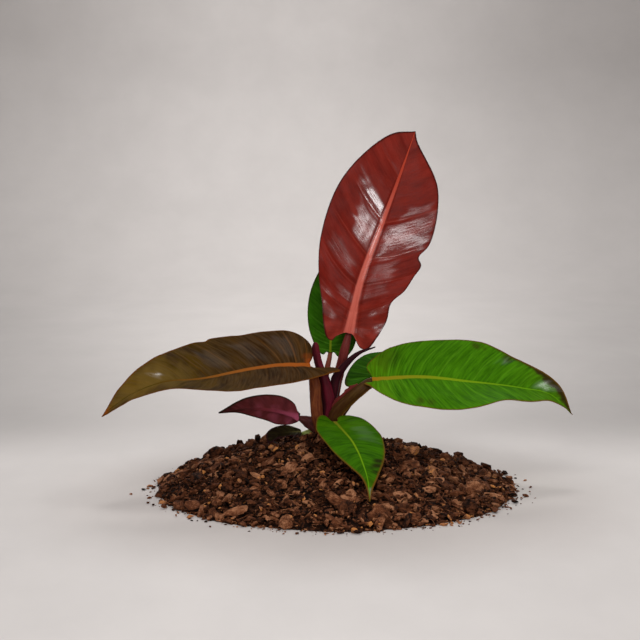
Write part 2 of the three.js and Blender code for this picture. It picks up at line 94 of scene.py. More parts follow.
def power_setting(name, description, watts):
    return FloatProperty(
        name=name,
        description=description,
        default=watts,
        min=0,
        subtype="POWER",
        unit="POWER",
    )


def count_setting(name, description, number):
    return IntProperty(
        name=name,
        description=description,
        default=number,
        min=0,
        subtype="UNSIGNED",
    )


class LeafSettings(bpy.types.PropertyGroup):
    """Sizes and colours of the leaf blades."""

    thickness: length_setting("Thickness", "Thickness of a blade between its veins", 0.6)
    relief: FloatProperty(
        name="Relief",
        description="How strongly veins are sunk and the blade puckers between them",
        default=1,
        min=0,
        max=2,
        subtype="FACTOR",
    )
    red_blade: colour_setting("Red Blade", "Upper side of the tall red leaf", "711a11")
    red_midrib: colour_setting("Red Midrib", "Midrib of the tall red leaf", "b4584a")
    bronze_blade: colour_setting("Bronze Blade", "Upper side of the bronze leaf", "362008")
    bronze_midrib: colour_setting("Bronze Midrib", "Midrib of the bronze leaf", "8e4a1a")
    green_blade: colour_setting("Green Blade", "Upper side of the green leaves", "346204")
    green_midrib: colour_setting("Green Midrib", "Midrib of the green leaves", "7c7014")
    purple_blade: colour_setting("Purple Blade", "Underside of the youngest small leaf", "7a3436")
    purple_midrib: colour_setting("Purple Midrib", "Midrib of the youngest small leaf", "9c4860")


class StemSettings(bpy.types.PropertyGroup):
    """Colours of the leaf stalks, the sheath and the new shoot."""

    maroon: colour_setting("Maroon", "Stalk of the red leaf", "5a221f")
    magenta: colour_setting("Magenta", "Upper part of the leaf sheath", "54141e")
    shoot: colour_setting("Shoot", "Rolled new leaf", "240c12")
    bronze: colour_setting("Red-brown", "Stalk of the bronze leaf", "5e2c18")
    ridge: length_setting("Ridge", "Height of the fine ridges along a stalk", 0.08)


class SoilSettings(bpy.types.PropertyGroup):
    """Make-up of the potting mix."""

    large_count: count_setting("Bark Chips", "Chips of bark 9 to 19 mm long", 210)
    medium_count: count_setting("Bark Pieces", "Pieces of bark 3.5 to 10 mm long", 1500)
    fine_count: count_setting("Crumbs", "Crumbs 1.2 to 5 mm across", 8000)
    clod_count: count_setting("Clods", "Lumps of mix that hold together", 70)
    fibre_count: count_setting("Fibres", "Loose fibres and splinters", 700)
    stray_count: count_setting("Stray Crumbs", "Crumbs dropped round the mound's rim", 1500)
    seed: count_setting("Seed", "Which random heap is laid", 4)
    dark: colour_setting("Dark Bark", "Wet, dark bark", "120805")
    brown: colour_setting("Brown Bark", "Most of the bark", "603620")
    tan: colour_setting("Tan Bark", "Inner bark and dry wood", "a06e4e")


class StageSettings(bpy.types.PropertyGroup):
    """Studio round the plant."""

    backdrop: colour_setting("Backdrop", "Floor and backdrop", "d3cecb")
    key_power: power_setting("Key Light", "Power of the soft lights overhead", 8)
    fill_power: power_setting("Fill Light", "Power of the soft light on the right", 10)
    rear_power: power_setting("Rear Light", "Power of the soft light behind", 11)
    wall_power: power_setting("Wall Light", "Power of the light on the far wall", 1.3)


# Each leaf, as its solid has it: the line of its midrib, the way its upper face looks, and its
# two half outlines, each point how far along the midrib and how far out from it. A half is
# raised by the fold, in degrees, and bends back down by the curl, in degrees a millimetre.
# Then come the finish and the detail: rows and columns of the mesh, side veins on each half, and
# in millimetres the vein depth, the pucker between veins, the unevenness and the wave of the rim.
# midrib_base is half the width of the rib below at its foot, and midrib_widths are the coloured
# band above it as shares of that. flare spreads the band's colour round the notch, and boss
# thickens the rib's foot. Blotches and flushes are stains: the share of the midrib, how far out
# with left negative, size and weight. scorched is a burnt rim: its side, the share where it
# starts, and its widths from there to the tip. A half may state where its side veins' feet are,
# how bold they are from base to tip, and where it shines: first and last share, near and far,
# and weight. Its dents are places along and out, with their size and rise.
LEAVES = {
    "red": {
        "finish": "red", "slot": "red_leaf", "rows": 240, "columns": 44, "seed": 11,
        "veins": 6, "vein_depth": 0.5, "pucker": 0.55, "ripple": 0.6, "wave": 0.6,
        "midrib_base": 3.2, "flare": 0.9,
        "midrib_widths": [1.5, 1.12, 0.92, 0.8, 0.7, 0.6, 0.5, 0.4, 0.28, 0.14, 0.05],
        "midrib": [[9, 5, 118], [18, 11, 157], [33, 19, 197], [48, 30, 236], [60, 42, 269]],
        "face": [[0, -1, 0.1], [0, -1, 0.12], [0.1, -1, 0.2]],
        "left": {
            "outline": [[0, 3], [-4, 9], [-8, 12], [-6, 17], [20, 26], [60, 40], [100, 42],
                        [130, 33], [156, 16], [164, 0.4]],
            "fold": [20, 16, 12, 6], "curl": [0.5, 0.4, 0.3, 0.2],
            "feet": [15, 35, 60, 89, 126], "boldness": (0.5, 0.4, 0.6, 0.9, 0.5, 0.2),
            "shine": [(0.678, 0.722, 1, 28, 1), (0.545, 0.66, -3, 20, 0.75),
                      (0.4, 0.465, 8, 32, 0.4), (0.12, 0.17, 16, 27, 0.7),
                      (0.22, 0.25, 18, 28, 0.5), (0.28, 0.33, 4, 16, 0.4)],
            "dents": [(-1, 17, 6, 1.6), (7, 27, 5, -1.2), (18, 26, 6, 1.4), (32, 34, 7, -1.6),
                      (25, 14, 8, -1.2), (44, 40, 6, 1.2)],
        },
        "right": {
            "outline": [[0, 3], [-9, 12], [-8, 18], [14, 27], [29, 28], [42, 35], [56, 38],
                        [67, 40], [72, 36], [84, 40], [126, 31], [157, 4], [164, 0.4]],
            "fold": [28, 24, 14, 6], "curl": [0.5, 0.4, 0.3, 0.2],
            "feet": [16, 36, 58, 87], "boldness": (0.5, 0.6, 0.9, 1, 0.3, 0.1),
            "shine": [(0.51, 0.66, 5, 37, 0.9), (0.68, 0.71, 14, 31, 0.5),
                      (0.42, 0.64, -3, 4, 0.5), (0.31, 0.49, 4, 21, 0.35),
                      (0.185, 0.215, 13, 26, 0.7), (0.09, 0.13, 19, 27, 0.8),
                      (0.06, 0.11, 4, 14, 0.8)],
            "dents": [(0, 20, 6, 1.8), (13, 24, 5, -1.6), (27, 23, 6, 1.3), (60, 20, 9, -1)],
        },
    },
    "bronze": {
        "finish": "bronze", "slot": "bronze_leaf", "rows": 240, "columns": 44, "seed": 12,
        "veins": 9, "vein_depth": 0.3, "pucker": 0.4, "ripple": 0.7, "wave": 0.4,
        "midrib_base": 3, "midrib_widths": [0.9, 0.7, 0.55, 0.36, 0.14, 0.05],
        "blotches": [(0, 4, 4, 0.5), (0.01, 9, 4, 0.25), (0.99, 0, 8, 0.45)],
        "flushes": [(0.72, 5, 20, 0.6), (0.6, 3, 14, 0.4), (0.85, 0, 18, 0.5)],
        "midrib": [[-20, -6, 95], [-42, -12, 96], [-66, -20, 94], [-100, -32, 89],
                   [-128, -42, 88], [-152, -49, 79], [-171, -54, 65]],
        "face": [[0, -0.5, 0.87], [0, -0.45, 0.9], [-0.1, -0.5, 0.85], [-0.6, -0.3, 0.7]],
        "left": {
            "outline": [[0, 2.5], [-10, 2.5], [-18, 2.6], [-20.8, 4], [-20.8, 9], [-12.5, 13.8],
                        [6, 22], [23, 28.5], [40, 35], [72, 39], [106, 30], [153, 14],
                        [164.5, 0.4]],
            "fold": [12, 12, 16, 26, 22, 12], "curl": [0.2, 0, 0, 0],
            "boldness": (0.35, 0.3, 0.2, 0.15, 0.1),
        },
        "right": {
            "outline": [[0, 2.5], [-2.5, 7], [-4.5, 12.5], [-3.5, 18.5], [1, 27], [11, 34],
                        [26, 36], [44, 36], [66, 38], [70, 36], [80, 38], [114, 26], [150, 8],
                        [164.5, 0.4]],
            "fold": [16, 16, 14, 20], "curl": [0.2, 0.2, 0.3, 0.5],
            "boldness": (1, 0.9, 0.5, 0.3, 0.25, 0.15, 0.1),
            "shine": [(0.762, 0.795, 6, 10, 1), (0.5, 0.58, 8, 26, 0.12), (0.33, 0.42, 8, 26, 0.1),
                      (0.16, 0.26, 9, 28, 0.15)],
        },
    },
    "green": {
        "finish": "green", "slot": "green_leaf", "rows": 240, "columns": 44, "seed": 13,
        "veins": 9, "vein_depth": 0.2, "pucker": 0.35, "ripple": 0.45, "wave": 0.4,
        "midrib_base": 3.2, "midrib_widths": [0.62, 0.52, 0.42, 0.3, 0.18, 0.06],
        "blotches": [(0.5, -34, 4, 0.6), (0.54, -33, 3, 0.4), (0.65, -27, 4, 0.5),
                     (0.08, -17, 12, 0.3), (0.22, 26, 4, 0.5), (0.27, 28, 4, 0.4)],
        "scorched": [(-1, 0.56, [0.6, 1, 1.6, 4.6, 4, 1.6])],
        "midrib": [[26, -12, 85.5], [63, -10, 87], [100, -8, 83], [138, -6, 78], [160, -6, 73],
                   [177, -8, 58]],
        "face": [[0, -0.64, 0.77], [0, -0.62, 0.78], [0, -0.6, 0.8], [0.3, -0.4, 0.8]],
        "left": {
            "outline": [[0, 3], [-3, 11.5], [8, 23], [20, 29], [38, 34], [84, 39], [110, 27],
                        [124, 21], [157, 0.4]],
            "fold": [10, 10, 10, 20], "curl": [0.2, 0.2, 0.2, 0.3],
            "shine": [(0.845, 0.9, 3, 11, 0.9), (0.655, 0.69, 21, 25, 0.6)],
        },
        "right": {
            "outline": [[0, 2.5], [-5, 2.6], [-6, 4], [-1.5, 8], [5, 17], [14, 24.5], [26, 30],
                        [44, 34], [64, 37], [78, 37.5], [91, 34.5], [116, 23.5], [139, 12],
                        [150, 4], [157, 0.4]],
            "fold": [12, 8, 16, 30, 22, 26], "curl": [0.2, 0.2, 0.2, 0.3],
        },
    },
    "front": {
        "finish": "deep_green", "slot": "green_leaf", "rows": 170, "columns": 30, "seed": 14,
        "veins": 6, "vein_depth": 0.15, "pucker": 0.3, "ripple": 0.5, "wave": 0.3,
        "midrib_base": 2.2, "midrib_widths": [0.7, 0.46, 0.34, 0.25, 0.17, 0.1],
        "blotches": [(0.62, -12, 5, 0.85), (0.67, -10, 6, 0.85), (0.73, -8, 4, 0.6)],
        "flushes": [(1, 0, 17, 0.95), (0.9, -2, 5, 0.4)],
        "midrib": [[-2, -21, 55], [4, -34, 51], [11, -54, 46], [17, -75, 37], [21, -93, 26],
                   [22, -108, 15]],
        "face": [[0.1, -0.3, 0.95], [0.1, -0.4, 0.9], [0.1, -0.6, 0.8]],
        "left": {
            "outline": [[0, 2.5], [-4, 4], [-7, 8], [-6.5, 13], [-2, 20], [6, 24], [20, 25],
                        [40, 22.5], [60, 17], [78, 8], [90, 2.5], [100, 0.4]],
            "fold": [6, 4, 4], "curl": [0.3, 0.3, 0.3],
            "boldness": (0.6, 0.5, 0.4, 0.4), "shine": [(0.25, 0.5, 7, 19, 0.1)],
        },
        "right": {
            "outline": [[0, 2.5], [-5, 2.6], [-9, 3.5], [-9, 7], [-5, 12], [2, 16.5], [9, 20],
                        [22, 24], [33, 25], [46, 22], [58, 17], [69, 10.5], [78, 5], [90, 1.5],
                        [100, 0.4]],
            "fold": [16, 16, 14, 10, 10], "curl": [0.3, 0.3, 0.3],
            "boldness": (0.6, 0.5, 0.4, 0.4),
        },
    },
    "back": {
        "finish": "dark_green", "slot": "green_leaf", "rows": 150, "columns": 26, "seed": 15,
        "veins": 9, "vein_depth": 0.25, "pucker": 0.35, "ripple": 0.3, "wave": 0.3,
        "midrib_base": 2.2, "midrib_widths": [0.4, 0.3, 0.24, 0.18, 0.1],
        "midrib": [[-5, 16, 102], [-4, 21, 122], [-1, 26, 150], [4, 32, 186]],
        "face": [[0, -1, 0.2], [0, -1, 0.25], [0, -1, 0.3]],
        "left": {
            "outline": [[0, 3], [-2, 5], [0, 9], [20, 18], [44, 19], [70, 10], [86, 0.4]],
            "fold": [14, 14, 10], "curl": [0.3, 0.3, 0.3],
        },
        "right": {
            "outline": [[0, 3], [-3, 6], [-4, 11], [2, 17], [12, 20], [40, 20], [70, 10],
                        [86, 0.4]],
            "fold": [14, 14, 10], "curl": [0.3, 0.3, 0.3],
        },
    },
    "rear": {
        "finish": "dark_green", "slot": "green_leaf", "rows": 170, "columns": 28, "seed": 16,
        "veins": 10, "vein_depth": 0.25, "pucker": 0.35, "ripple": 0.35, "wave": 0.4,
        "midrib_base": 2, "midrib_widths": [0.9, 0.5, 0.32, 0.22, 0.1],
        "midrib": [[28, 10, 83], [45, 28, 90], [66, 50, 89], [84, 70, 81], [96, 86, 68]],
        "face": [[-0.2, -0.4, 0.9], [-0.2, -0.3, 0.9], [0, -0.2, 0.95]],
        "left": {
            "outline": [[0, 2], [-19, 3], [-23, 7], [-21, 11], [-4, 21], [20, 27], [60, 22],
                        [84, 12], [109, 0.4]],
            "fold": [14, 14, 14], "curl": [0.3, 0.3, 0.3],
        },
        "right": {
            "outline": [[0, 2], [-8, 5], [-10, 10], [-6, 16], [20, 24], [60, 21], [84, 13],
                        [109, 0.4]],
            "fold": [14, 14, 14], "curl": [0.3, 0.3, 0.3],
        },
    },
    "purple": {
        "finish": "purple", "slot": "purple_leaf", "rows": 130, "columns": 24, "seed": 17,
        "veins": 7, "vein_depth": -0.2, "pucker": -0.2, "ripple": 0.25, "wave": 0.2,
        "midrib_base": 1.8, "midrib_widths": [0.8, 0.5, 0.3, 0.2, 0.1],
        "blotches": [(0.2, -10, 7, 0.6), (0.36, -11, 6, 0.5), (0.3, -4, 4, 0.4),
                     (0.6, -7, 8, 0.6), (0.88, 0, 16, 0.6)],
        "flushes": [(0.1, 8, 12, 0.85), (0.3, 7, 13, 0.65), (0.5, 5, 10, 0.4), (0, 0, 5, 0.8)],
        "upside_down": True, "boss": 1,
        "midrib": [[-28, -2, 56], [-44, -1, 60], [-65, -2, 62], [-89, -7, 59.5]],
        "face": [[0, 0.8, 0.6], [0, 0.8, 0.5], [0, 0.6, 0.6]],
        "left": {
            "outline": [[0, 2], [2.5, 4], [6, 9.5], [11, 12], [18, 13], [33, 11.5], [45, 8.5],
                        [56, 4], [63, 0.4]],
            "fold": [10, 10, 10], "curl": [-0.4, -0.4, -0.4],
        },
        "right": {
            "outline": [[0, 2], [-0.5, 5], [2, 8.5], [7, 12.5], [16, 15], [24, 12.5], [38, 8],
                        [50, 3], [63, 0.4]],
            "fold": [0, 0, 0], "curl": [-0.4, -0.4, -0.4],
        },
    },
    "low": {
        "finish": "withered", "slot": "green_leaf", "rows": 80, "columns": 16, "seed": 18,
        "veins": 6, "vein_depth": 0.2, "pucker": 0.3, "ripple": 0.4, "wave": 0.3,
        "midrib_base": 1.5, "midrib_widths": [0.8, 0.5, 0.3, 0.2, 0.1],
        "midrib": [[-27, 2, 43], [-36, 0, 43], [-45, -2, 41.5], [-52, -4, 36]],
        "face": [[0, -0.5, 0.87], [0, -0.4, 0.9], [0, -0.3, 0.95]],
        "left": {
            "outline": [[0, 2], [6, 6], [18, 6.5], [25, 4], [28, 0.4]],
            "fold": [14, 14, 14], "curl": [0.3, 0.3, 0.3],
        },
        "right": {
            "outline": [[0, 2], [6, 6], [12, 8], [20, 8.5], [25, 6], [28, 0.4]],
            "fold": [14, 14, 14], "curl": [0.3, 0.3, 0.3],
        },
    },
}

# Growth of every blade: how the side veins' feet crowd towards the base, how far the veins bow
# back, how far the notch bends the first of them, and how much longer the margin is than the
# midrib
VEIN_LAG = 1.6
VEIN_BOW = 0.06
NOTCH_REACH = 0.25
MARGIN_STRETCH = 1.15

# The rib below: how it thins from its foot, its tip, the share of the midrib where it ends, and
# how far it is sunk into the blade
RIB_TAPER = (1, 0.75, 0.5)
RIB_TIP = 0.6
RIB_END = 0.9
RIB_SINK = 0.3

# Half the width of a side vein's colour and of its groove, and the share of the gap between two
# side veins that the fine vein there takes
VEIN_WIDTH = 0.7
GROOVE_WIDTH = 1.5
FINE_VEIN_SHARE = 0.06

# How finely an outline is followed, and how much the mesh's columns crowd towards the midrib
OUTLINE_STEPS = 2000
COLUMN_CROWDING = 1.5

# Stains are sized as on a blade of this length
STAIN_LENGTH = 160

# Each stem, as its solid has it: points on its middle, and half its width and half its depth
# from foot to top. Then its finish and its section, the leaf that it carries, half its width and
# depth under that leaf, which way its width lies, and the line of the membrane on its edge.
STEMS = {
    "new_shoot": {
        "finish": "shoot", "slot": "maroon_stem", "section": "rolled", "steps": 120,
        "path": [[-3, 0, 52], [-2, -1.5, 67], [-1.5, -3, 76], [-1, -4, 85], [4, -5.5, 93],
                 [10.5, -7, 100.5], [17, -8, 105.5], [28.5, -9, 109.7]],
        "width": [1.6, 1.6, 2.2, 3.6, 3, 2.2, 1.4, 0.5],
        "depth": [1.4, 1.4, 1.8, 2.2, 2.2, 1.8, 1.2, 0.5],
    },
    "petiole_red": {
        "finish": "maroon", "slot": "maroon_stem", "section": "grooved", "steps": 110,
        "leaf": "red",
        "path": [[-5, 4, 48], [-3, 5, 62], [-1, 6, 76], [3, 6.5, 93], [6, 5.5, 106]],
        "width": [4.6, 4.2, 3.9, 3.7, 3.4],
        "depth": [3.6, 3.4, 3.4, 3.3, 3],
    },
    "magenta_sheath": {
        "finish": "sheath", "slot": "maroon_stem", "section": "keeled", "steps": 120,
        "path": [[-9, -2, 47], [-8, -4, 57], [-6.8, -4.2, 66], [-8.6, -3.5, 76],
                 [-10.6, -3, 85.5], [-13.7, -2.5, 96], [-15.8, -2, 106], [-16.2, -2, 112.5]],
        "width": [4.4, 4.5, 5.2, 5.7, 4.8, 3.3, 3, 2.6],
        "depth": [2, 2.2, 2.4, 2.8, 2.6, 2, 1.9, 1.6],
    },
    "petiole_back": {
        "finish": "rose", "slot": "maroon_stem", "section": "grooved", "steps": 90,
        "leaf": "back",
        "path": [[-8, 6, 48], [-9.5, 10, 62], [-9, 13, 80]],
        "width": [3.6, 3, 2.4],
        "depth": [3, 2.6, 2.2],
    },
    "petiole_rear": {
        "finish": "brown", "slot": "brown_stem", "section": "grooved", "steps": 80,
        "leaf": "rear", "top": (3.2, 2.2),
        "path": [[-2, 4, 47], [6, 7, 60], [15, 8, 71]],
        "width": [3.4, 3, 2.4],
        "depth": [3, 2.6, 2.2],
    },
    "petiole_bronze": {
        "finish": "bronze", "slot": "brown_stem", "section": "grooved", "steps": 100,
        "leaf": "bronze",
        "path": [[-11, -4, 44], [-14.6, -7.5, 56], [-16, -8.5, 70], [-16.8, -8.7, 82]],
        "width": [5, 4.6, 4.4, 4],
        "depth": [4, 3.6, 3.4, 3],
    },
    "petiole_green": {
        "finish": "olive", "slot": "brown_stem", "section": "edged", "steps": 100,
        "leaf": "green", "top": (3.7, 2.2), "across": [-0.7, 0, 0.7],
        "path": [[-4, -3, 47], [0, -7.5, 60], [8.5, -11, 70], [17.5, -13, 78]],
        "width": [5, 5, 4.8, 4.5],
        "depth": [3.6, 3.6, 3.4, 3.2],
        "wing": [[-4, -7.5, 63.6], [1, -9.8, 70.1], [6, -11.2, 74.9], [11, -12.4, 79],
                 [15.5, -13, 82]],
    },
    "petiole_front": {
        "finish": "pale", "slot": "brown_stem", "section": "grooved", "steps": 50,
        "leaf": "front",
        "path": [[-5, -4, 44], [-4.5, -11, 48], [-3.5, -16, 52]],
        "width": [3.2, 2.8, 2.4],
        "depth": [2.8, 2.6, 2.2],
    },
    "petiole_purple": {
        "finish": "dusky", "slot": "brown_stem", "section": "grooved", "steps": 60,
        "leaf": "purple", "across": [-0.5, 0, 0.9],
        "path": [[-9, -1, 46], [-16, -2, 49], [-22, -2, 51.8]],
        "width": [6.4, 5.8, 4.2],
        "depth": [3.6, 3.2, 2.4],
    },
    "petiole_low": {
        "finish": "pale", "slot": "brown_stem", "section": "grooved", "steps": 40,
        "leaf": "low",
        "path": [[-11, 3, 44], [-19, 3, 43]],
        "width": [3.2, 2.6],
        "depth": [2.6, 2],
    },
}

# The way that a stem's width lies unless it states another, and the points round it
FACING_FRONT = (1, 0, 0.3)
STEM_SIDES = 36

# Half the width and half the thickness of the membrane along its stalk, and its mesh
WING_WIDTH = (0.6, 1.8, 1.3, 2.4, 0.9)
WING_DEPTH = (0.25, 0.2, 0.2, 0.2, 0.25)
WING_STEPS = 120
WING_SIDES = 12

# Where a stalk meets its leaf, half its width and how far its middle lies below the blade, both
# as shares of midrib_base, and how many millimetres it runs on there
STEM_TOP_SHARE = 0.7
STEM_SINK = 1.15
STEM_OVERRUN = 1.5

# Fine ridges round a stalk, and millimetres between the fibres that streak its skin
RIDGE_COUNT = 11
STALK_FIBRE = 1.2

# How far the free edge of a rolled leaf winds round it from foot to tip, and where it starts, in
# radians
FREE_EDGE_WIND = 3.2
FREE_EDGE_START = 2.2

# The short stem in the soil, and its roots
CROWN_FOOT = (-6, 2, 16)
CROWN_TOP = (-6, 2, 55)
CROWN_RADII = (6, 9, 9.5, 9, 5)
CROWN_STEPS = 60
CROWN_SIDES = 36
ROOT_COUNT = 5
ROOT_TURN = 0.3
ROOT_RISE = 5
ROOT_REACH = 44
ROOT_DEPTH = 12
ROOT_RADII = (2.4, 2, 1.6, 1)
ROOT_STEPS = 50
ROOT_SIDES = 14

# The mound: how full its shoulders are, how much fuller it is towards -X, and its mesh
MOUND_RADIUS = 136
MOUND_HEIGHT = 35
MOUND_SHOULDER = 1.8
MOUND_LEAN = 5
MOUND_RINGS = 90
MOUND_SECTORS = 220

# Round the crown it is banked up in a collar, and the bark near the crown is painted darker:
# painted shade under the leaves
COLLAR_HEIGHT = 8.5
COLLAR_RADIUS = 20
CROWN_SHADE_RADIUS = 70
CROWN_SHADE_DARKENING = 0.14

# Its fines fill the gaps between the chips: how far they lie below its height, how thick they
# are at least, how far their rim strays in, and how rough they are, as the height, size across
# and seed of each layer
FINES_SINK = 2
FINES_LEAST = 0.4
FINES_RIM = 3
FINES_ROUGHNESS = ((1.4, 9, 1), (1.2, 4, 2), (0.8, 2, 3))

# Pieces of the mix by kind: length range, then width and thickness as shares of the length, the
# tilt off the slope, how far the middle lies above the slope as a share of the thickness, the
# usual tone from 0 dark to 1 tan, the darkest one and the driest one, whether the surface is
# crumbly, how finely the shape is broken, and how many shapes there are.
BARK_KINDS = {
    "large": {"length": (9, 19), "width": 0.62, "thickness": 0.3, "tilt": 0.55, "lift": 0.15,
              "tone": 0.46, "darkest": 0.16, "driest": 0.95, "crumbly": False, "level": 3,
              "shapes": 9},
    "medium": {"length": (3.5, 10), "width": 0.55, "thickness": 0.4, "tilt": 0.9, "lift": 0.4,
               "tone": 0.36, "darkest": 0.16, "driest": 0.95, "crumbly": False, "level": 2,
               "shapes": 12},
    "fine": {"length": (1.2, 5), "width": 0.6, "thickness": 0.45, "tilt": 1.2, "lift": 0.7,
             "tone": 0.23, "darkest": 0.02, "driest": 1.1, "crumbly": True, "level": 1,
             "shapes": 12},
    "clods": {"length": (5, 12), "width": 0.9, "thickness": 0.7, "tilt": 1, "lift": 0.3,
              "tone": 0.26, "darkest": 0.16, "driest": 0.95, "crumbly": True, "level": 3,
              "shapes": 8},
}

# The tones of each kind spread by this much, and a share of the pieces has dried out to tones
# from this one up to the driest
TONE_SPREAD = 0.16
DRY_SHARE = 0.13
DRY_TONE = 0.6

# Short pieces outnumber long ones, the more so the higher this is
SHORTNESS = 1.8

# The pieces end at a ragged rim: how far it strays out and in, and how far inside it they lie
PIECES_RIM = 3.5
PIECES_INSIDE = 2

# Chips that stand out: place on the mound, length, tone from 0 dark to 1 tan
NOTABLE_CHIPS = (
    (-72, -104, 19, 0.62), (-59, -80, 13, 0.6), (0, -81, 9, 0.95), (8, -96, 15, 0.8),
    (34, -104, 17, 0.75), (48, -112, 19, 0.6), (52, -36, 18, 0.5), (-46, 6, 15, 0.2),
    (96, -6, 14, 0.6), (-20, -104, 12, 0.75), (88, -82, 12, 0.85),
)

# Clods that stick up along the crest of the mound, in the same way
NOTABLE_CLODS = (
    (-92, 12, 13, 0.25), (-74, 20, 10, 0.3), (-60, 24, 10, 0.2), (-108, 4, 9, 0.3),
    (-50, 30, 8, 0.3), (44, 34, 9, 0.2), (58, 30, 10, 0.25), (70, 26, 9, 0.3), (84, 18, 12, 0.5),
    (98, 14, 8, 0.2), (112, 6, 8, 0.3), (34, 30, 8, 0.2),
)

# Crumbs on the floor beside the mound: place and length. The others start a little inside the
# rim and thin out from there, each step of the spread leaving about a third of them, and end at
# the limit. Then come the length of the smallest, how much longer the usual one is, and the
# usual tone and its spread.
STRAY_CRUMBS = (
    (-154, -22, 3), (-142, 5, 6), (-139, -35, 4), (-104, -94, 6), (1, -139, 5), (13, -140, 6),
    (146, 26, 4), (147, 1, 3.5), (140, -29, 5), (-118, -72, 4), (84, -112, 4),
)
STRAY_START = 6
STRAY_SPREAD = 4
STRAY_LIMIT = 152
STRAY_LEAST = 0.8
STRAY_LONGER = 1.3
STRAY_TONE = 0.45
STRAY_TONE_SPREAD = 0.3

# Loose fibres: length, radius, the most that they bend as a share of the length, how far they
# lie above the mound's height, tones, and mesh
FIBRE_LENGTH = (5, 14)
FIBRE_RADIUS = (0.2, 0.6)
FIBRE_BEND = 0.2
FIBRE_LIFT = 1.2
FIBRE_TONES = (0.3, 0.8)
FIBRE_STEPS = 6
FIBRE_SIDES = 5

# Patterns on the bark. Its fibres are about 0.3 mm across and are drawn at 0.7 mm, so that they
# show.
BARK_FIBRE = 0.7
BARK_PATCH = 5

# The brightest grains among the crumbs and fines
BRIGHT_GRAIN = "b8783f"


def lerp(first, second, share):
    return first + (second - first) * share


def smooth_step(value, low, high):
    """0 below low, 1 above high, and a soft rise between."""
    share = np.clip((value - low) / (high - low), 0, 1)
    return share * share * (3 - 2 * share)


def window(value, first, last, soft):
    """1 between two values and 0 outside them, with soft ends."""
    opened = smooth_step(value - first, -soft / 2, soft / 2)
    return opened * (1 - smooth_step(value - last, -soft / 2, soft / 2))


def hump(value):
    """1 at 0, falling softly to almost nothing at 2 on either side."""
    return np.exp(-(value**2))


def unit(vectors):
    return vectors / np.linalg.norm(vectors, axis=-1, keepdims=True)


def curve_through(corners, steps=60):
    """A smooth line through corners: a function from a share of its length to a point on it,
    and the length."""
    corners = np.asarray(corners, float)
    before, after = 2 * corners[[0, -1]] - corners[[1, -2]]
    knots = np.vstack([before, corners, after])
    times = np.cumsum(np.r_[0, np.linalg.norm(np.diff(knots, axis=0), axis=1) ** 0.5])
    spans = []
    for i in range(len(corners) - 1):
        p = knots[i : i + 4]
        t = times[i : i + 4]
        now = np.linspace(t[1], t[2], steps, endpoint=False)[:, None]
        a = [lerp(p[k], p[k + 1], (now - t[k]) / (t[k + 1] - t[k])) for k in range(3)]
        b = [lerp(a[k], a[k + 1], (now - t[k]) / (t[k + 2] - t[k])) for k in range(2)]
        spans.append(lerp(b[0], b[1], (now - t[1]) / (t[2] - t[1])))
    points = np.vstack([*spans, corners[-1:]])
    run = np.r_[0, np.cumsum(np.linalg.norm(np.diff(points, axis=0), axis=1))]

    def point_at(share):
        return np.stack([np.interp(share, run / run[-1], axis) for axis in points.T], -1)

    return point_at, run[-1]


def direction_of(point_at, share, step=0.006):
    return unit(point_at(np.minimum(share + step, 1)) - point_at(np.maximum(share - step, 0)))


def keyed(keys, share):
    """The value at a share from 0 to 1 of evenly spaced keys, rounded through each of them."""
    keys = np.asarray(keys, float)
    place = np.clip(share, 0, 1) * (len(keys) - 1)
    index = np.minimum(place.astype(int), len(keys) - 2)
    t = place - index
    if keys.ndim == 2:
        t = t[..., None]
    slope = np.gradient(keys, axis=0)
    rise = keys[index] * (1 + 2 * t) * (1 - t) ** 2 + keys[index + 1] * t * t * (3 - 2 * t)
    return rise + slope[index] * t * (1 - t) ** 2 - slope[index + 1] * t * t * (1 - t)


def uneven(x, y, size, seed):
    """Smooth random heights from -1 to 1 over a plane, with bumps about one size across."""
    lattice = np.random.default_rng(seed).uniform(-1, 1, (97, 97))
    u, v = np.asarray(x) / size, np.asarray(y) / size
    i, j = np.floor(u).astype(int), np.floor(v).astype(int)
    s, t = smooth_step(u - i, 0, 1), smooth_step(v - j, 0, 1)
    i, j = i % 96, j % 96
    near = lerp(lattice[i, j], lattice[i + 1, j], s)
    far = lerp(lattice[i, j + 1], lattice[i + 1, j + 1], s)
    return lerp(near, far, t)


def add_piece(name, points, faces, material, attributes, replaced=(), sharp=60):
    """Makes a piece from points in millimetres, rides it on the plant, and gives each point
    its attributes. Edges that turn by more than sharp, in degrees, stay crisp."""
    mesh = bpy.data.meshes.new(name)
    mesh.from_pydata((np.asarray(points) * MM).tolist(), [], faces)
    mesh.shade_smooth()
    mesh.set_sharp_from_angle(angle=math.radians(sharp))
    for key, values in attributes.items():
        values = np.asarray(values, np.float32)
        kind, field = ("FLOAT_VECTOR", "vector") if values.ndim == 2 else ("FLOAT", "value")
        mesh.attributes.new(key, kind, "POINT").data.foreach_set(field, values.ravel())
    mesh.materials.append(material)
    piece = bpy.data.objects.new(name, mesh)
    bpy.context.scene.collection.objects.link(piece)
    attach(piece, "root")
    if replaced:
        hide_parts(*replaced)
    return piece


def grid_faces(rows, columns, start=0, closed=False, flipped=False):
    """Quads over a grid of points, row by row; a closed grid joins its last column to its
    first."""
    row, column = np.meshgrid(np.arange(rows - 1), np.arange(columns - (not closed)), indexing="ij")
    after = (column + 1) % columns
    corners = [row * columns + column, row * columns + after]
    corners += [corners[1] + columns, corners[0] + columns]
    if flipped:
        corners.reverse()
    return (np.stack(corners, -1).reshape(-1, 4) + start).tolist()


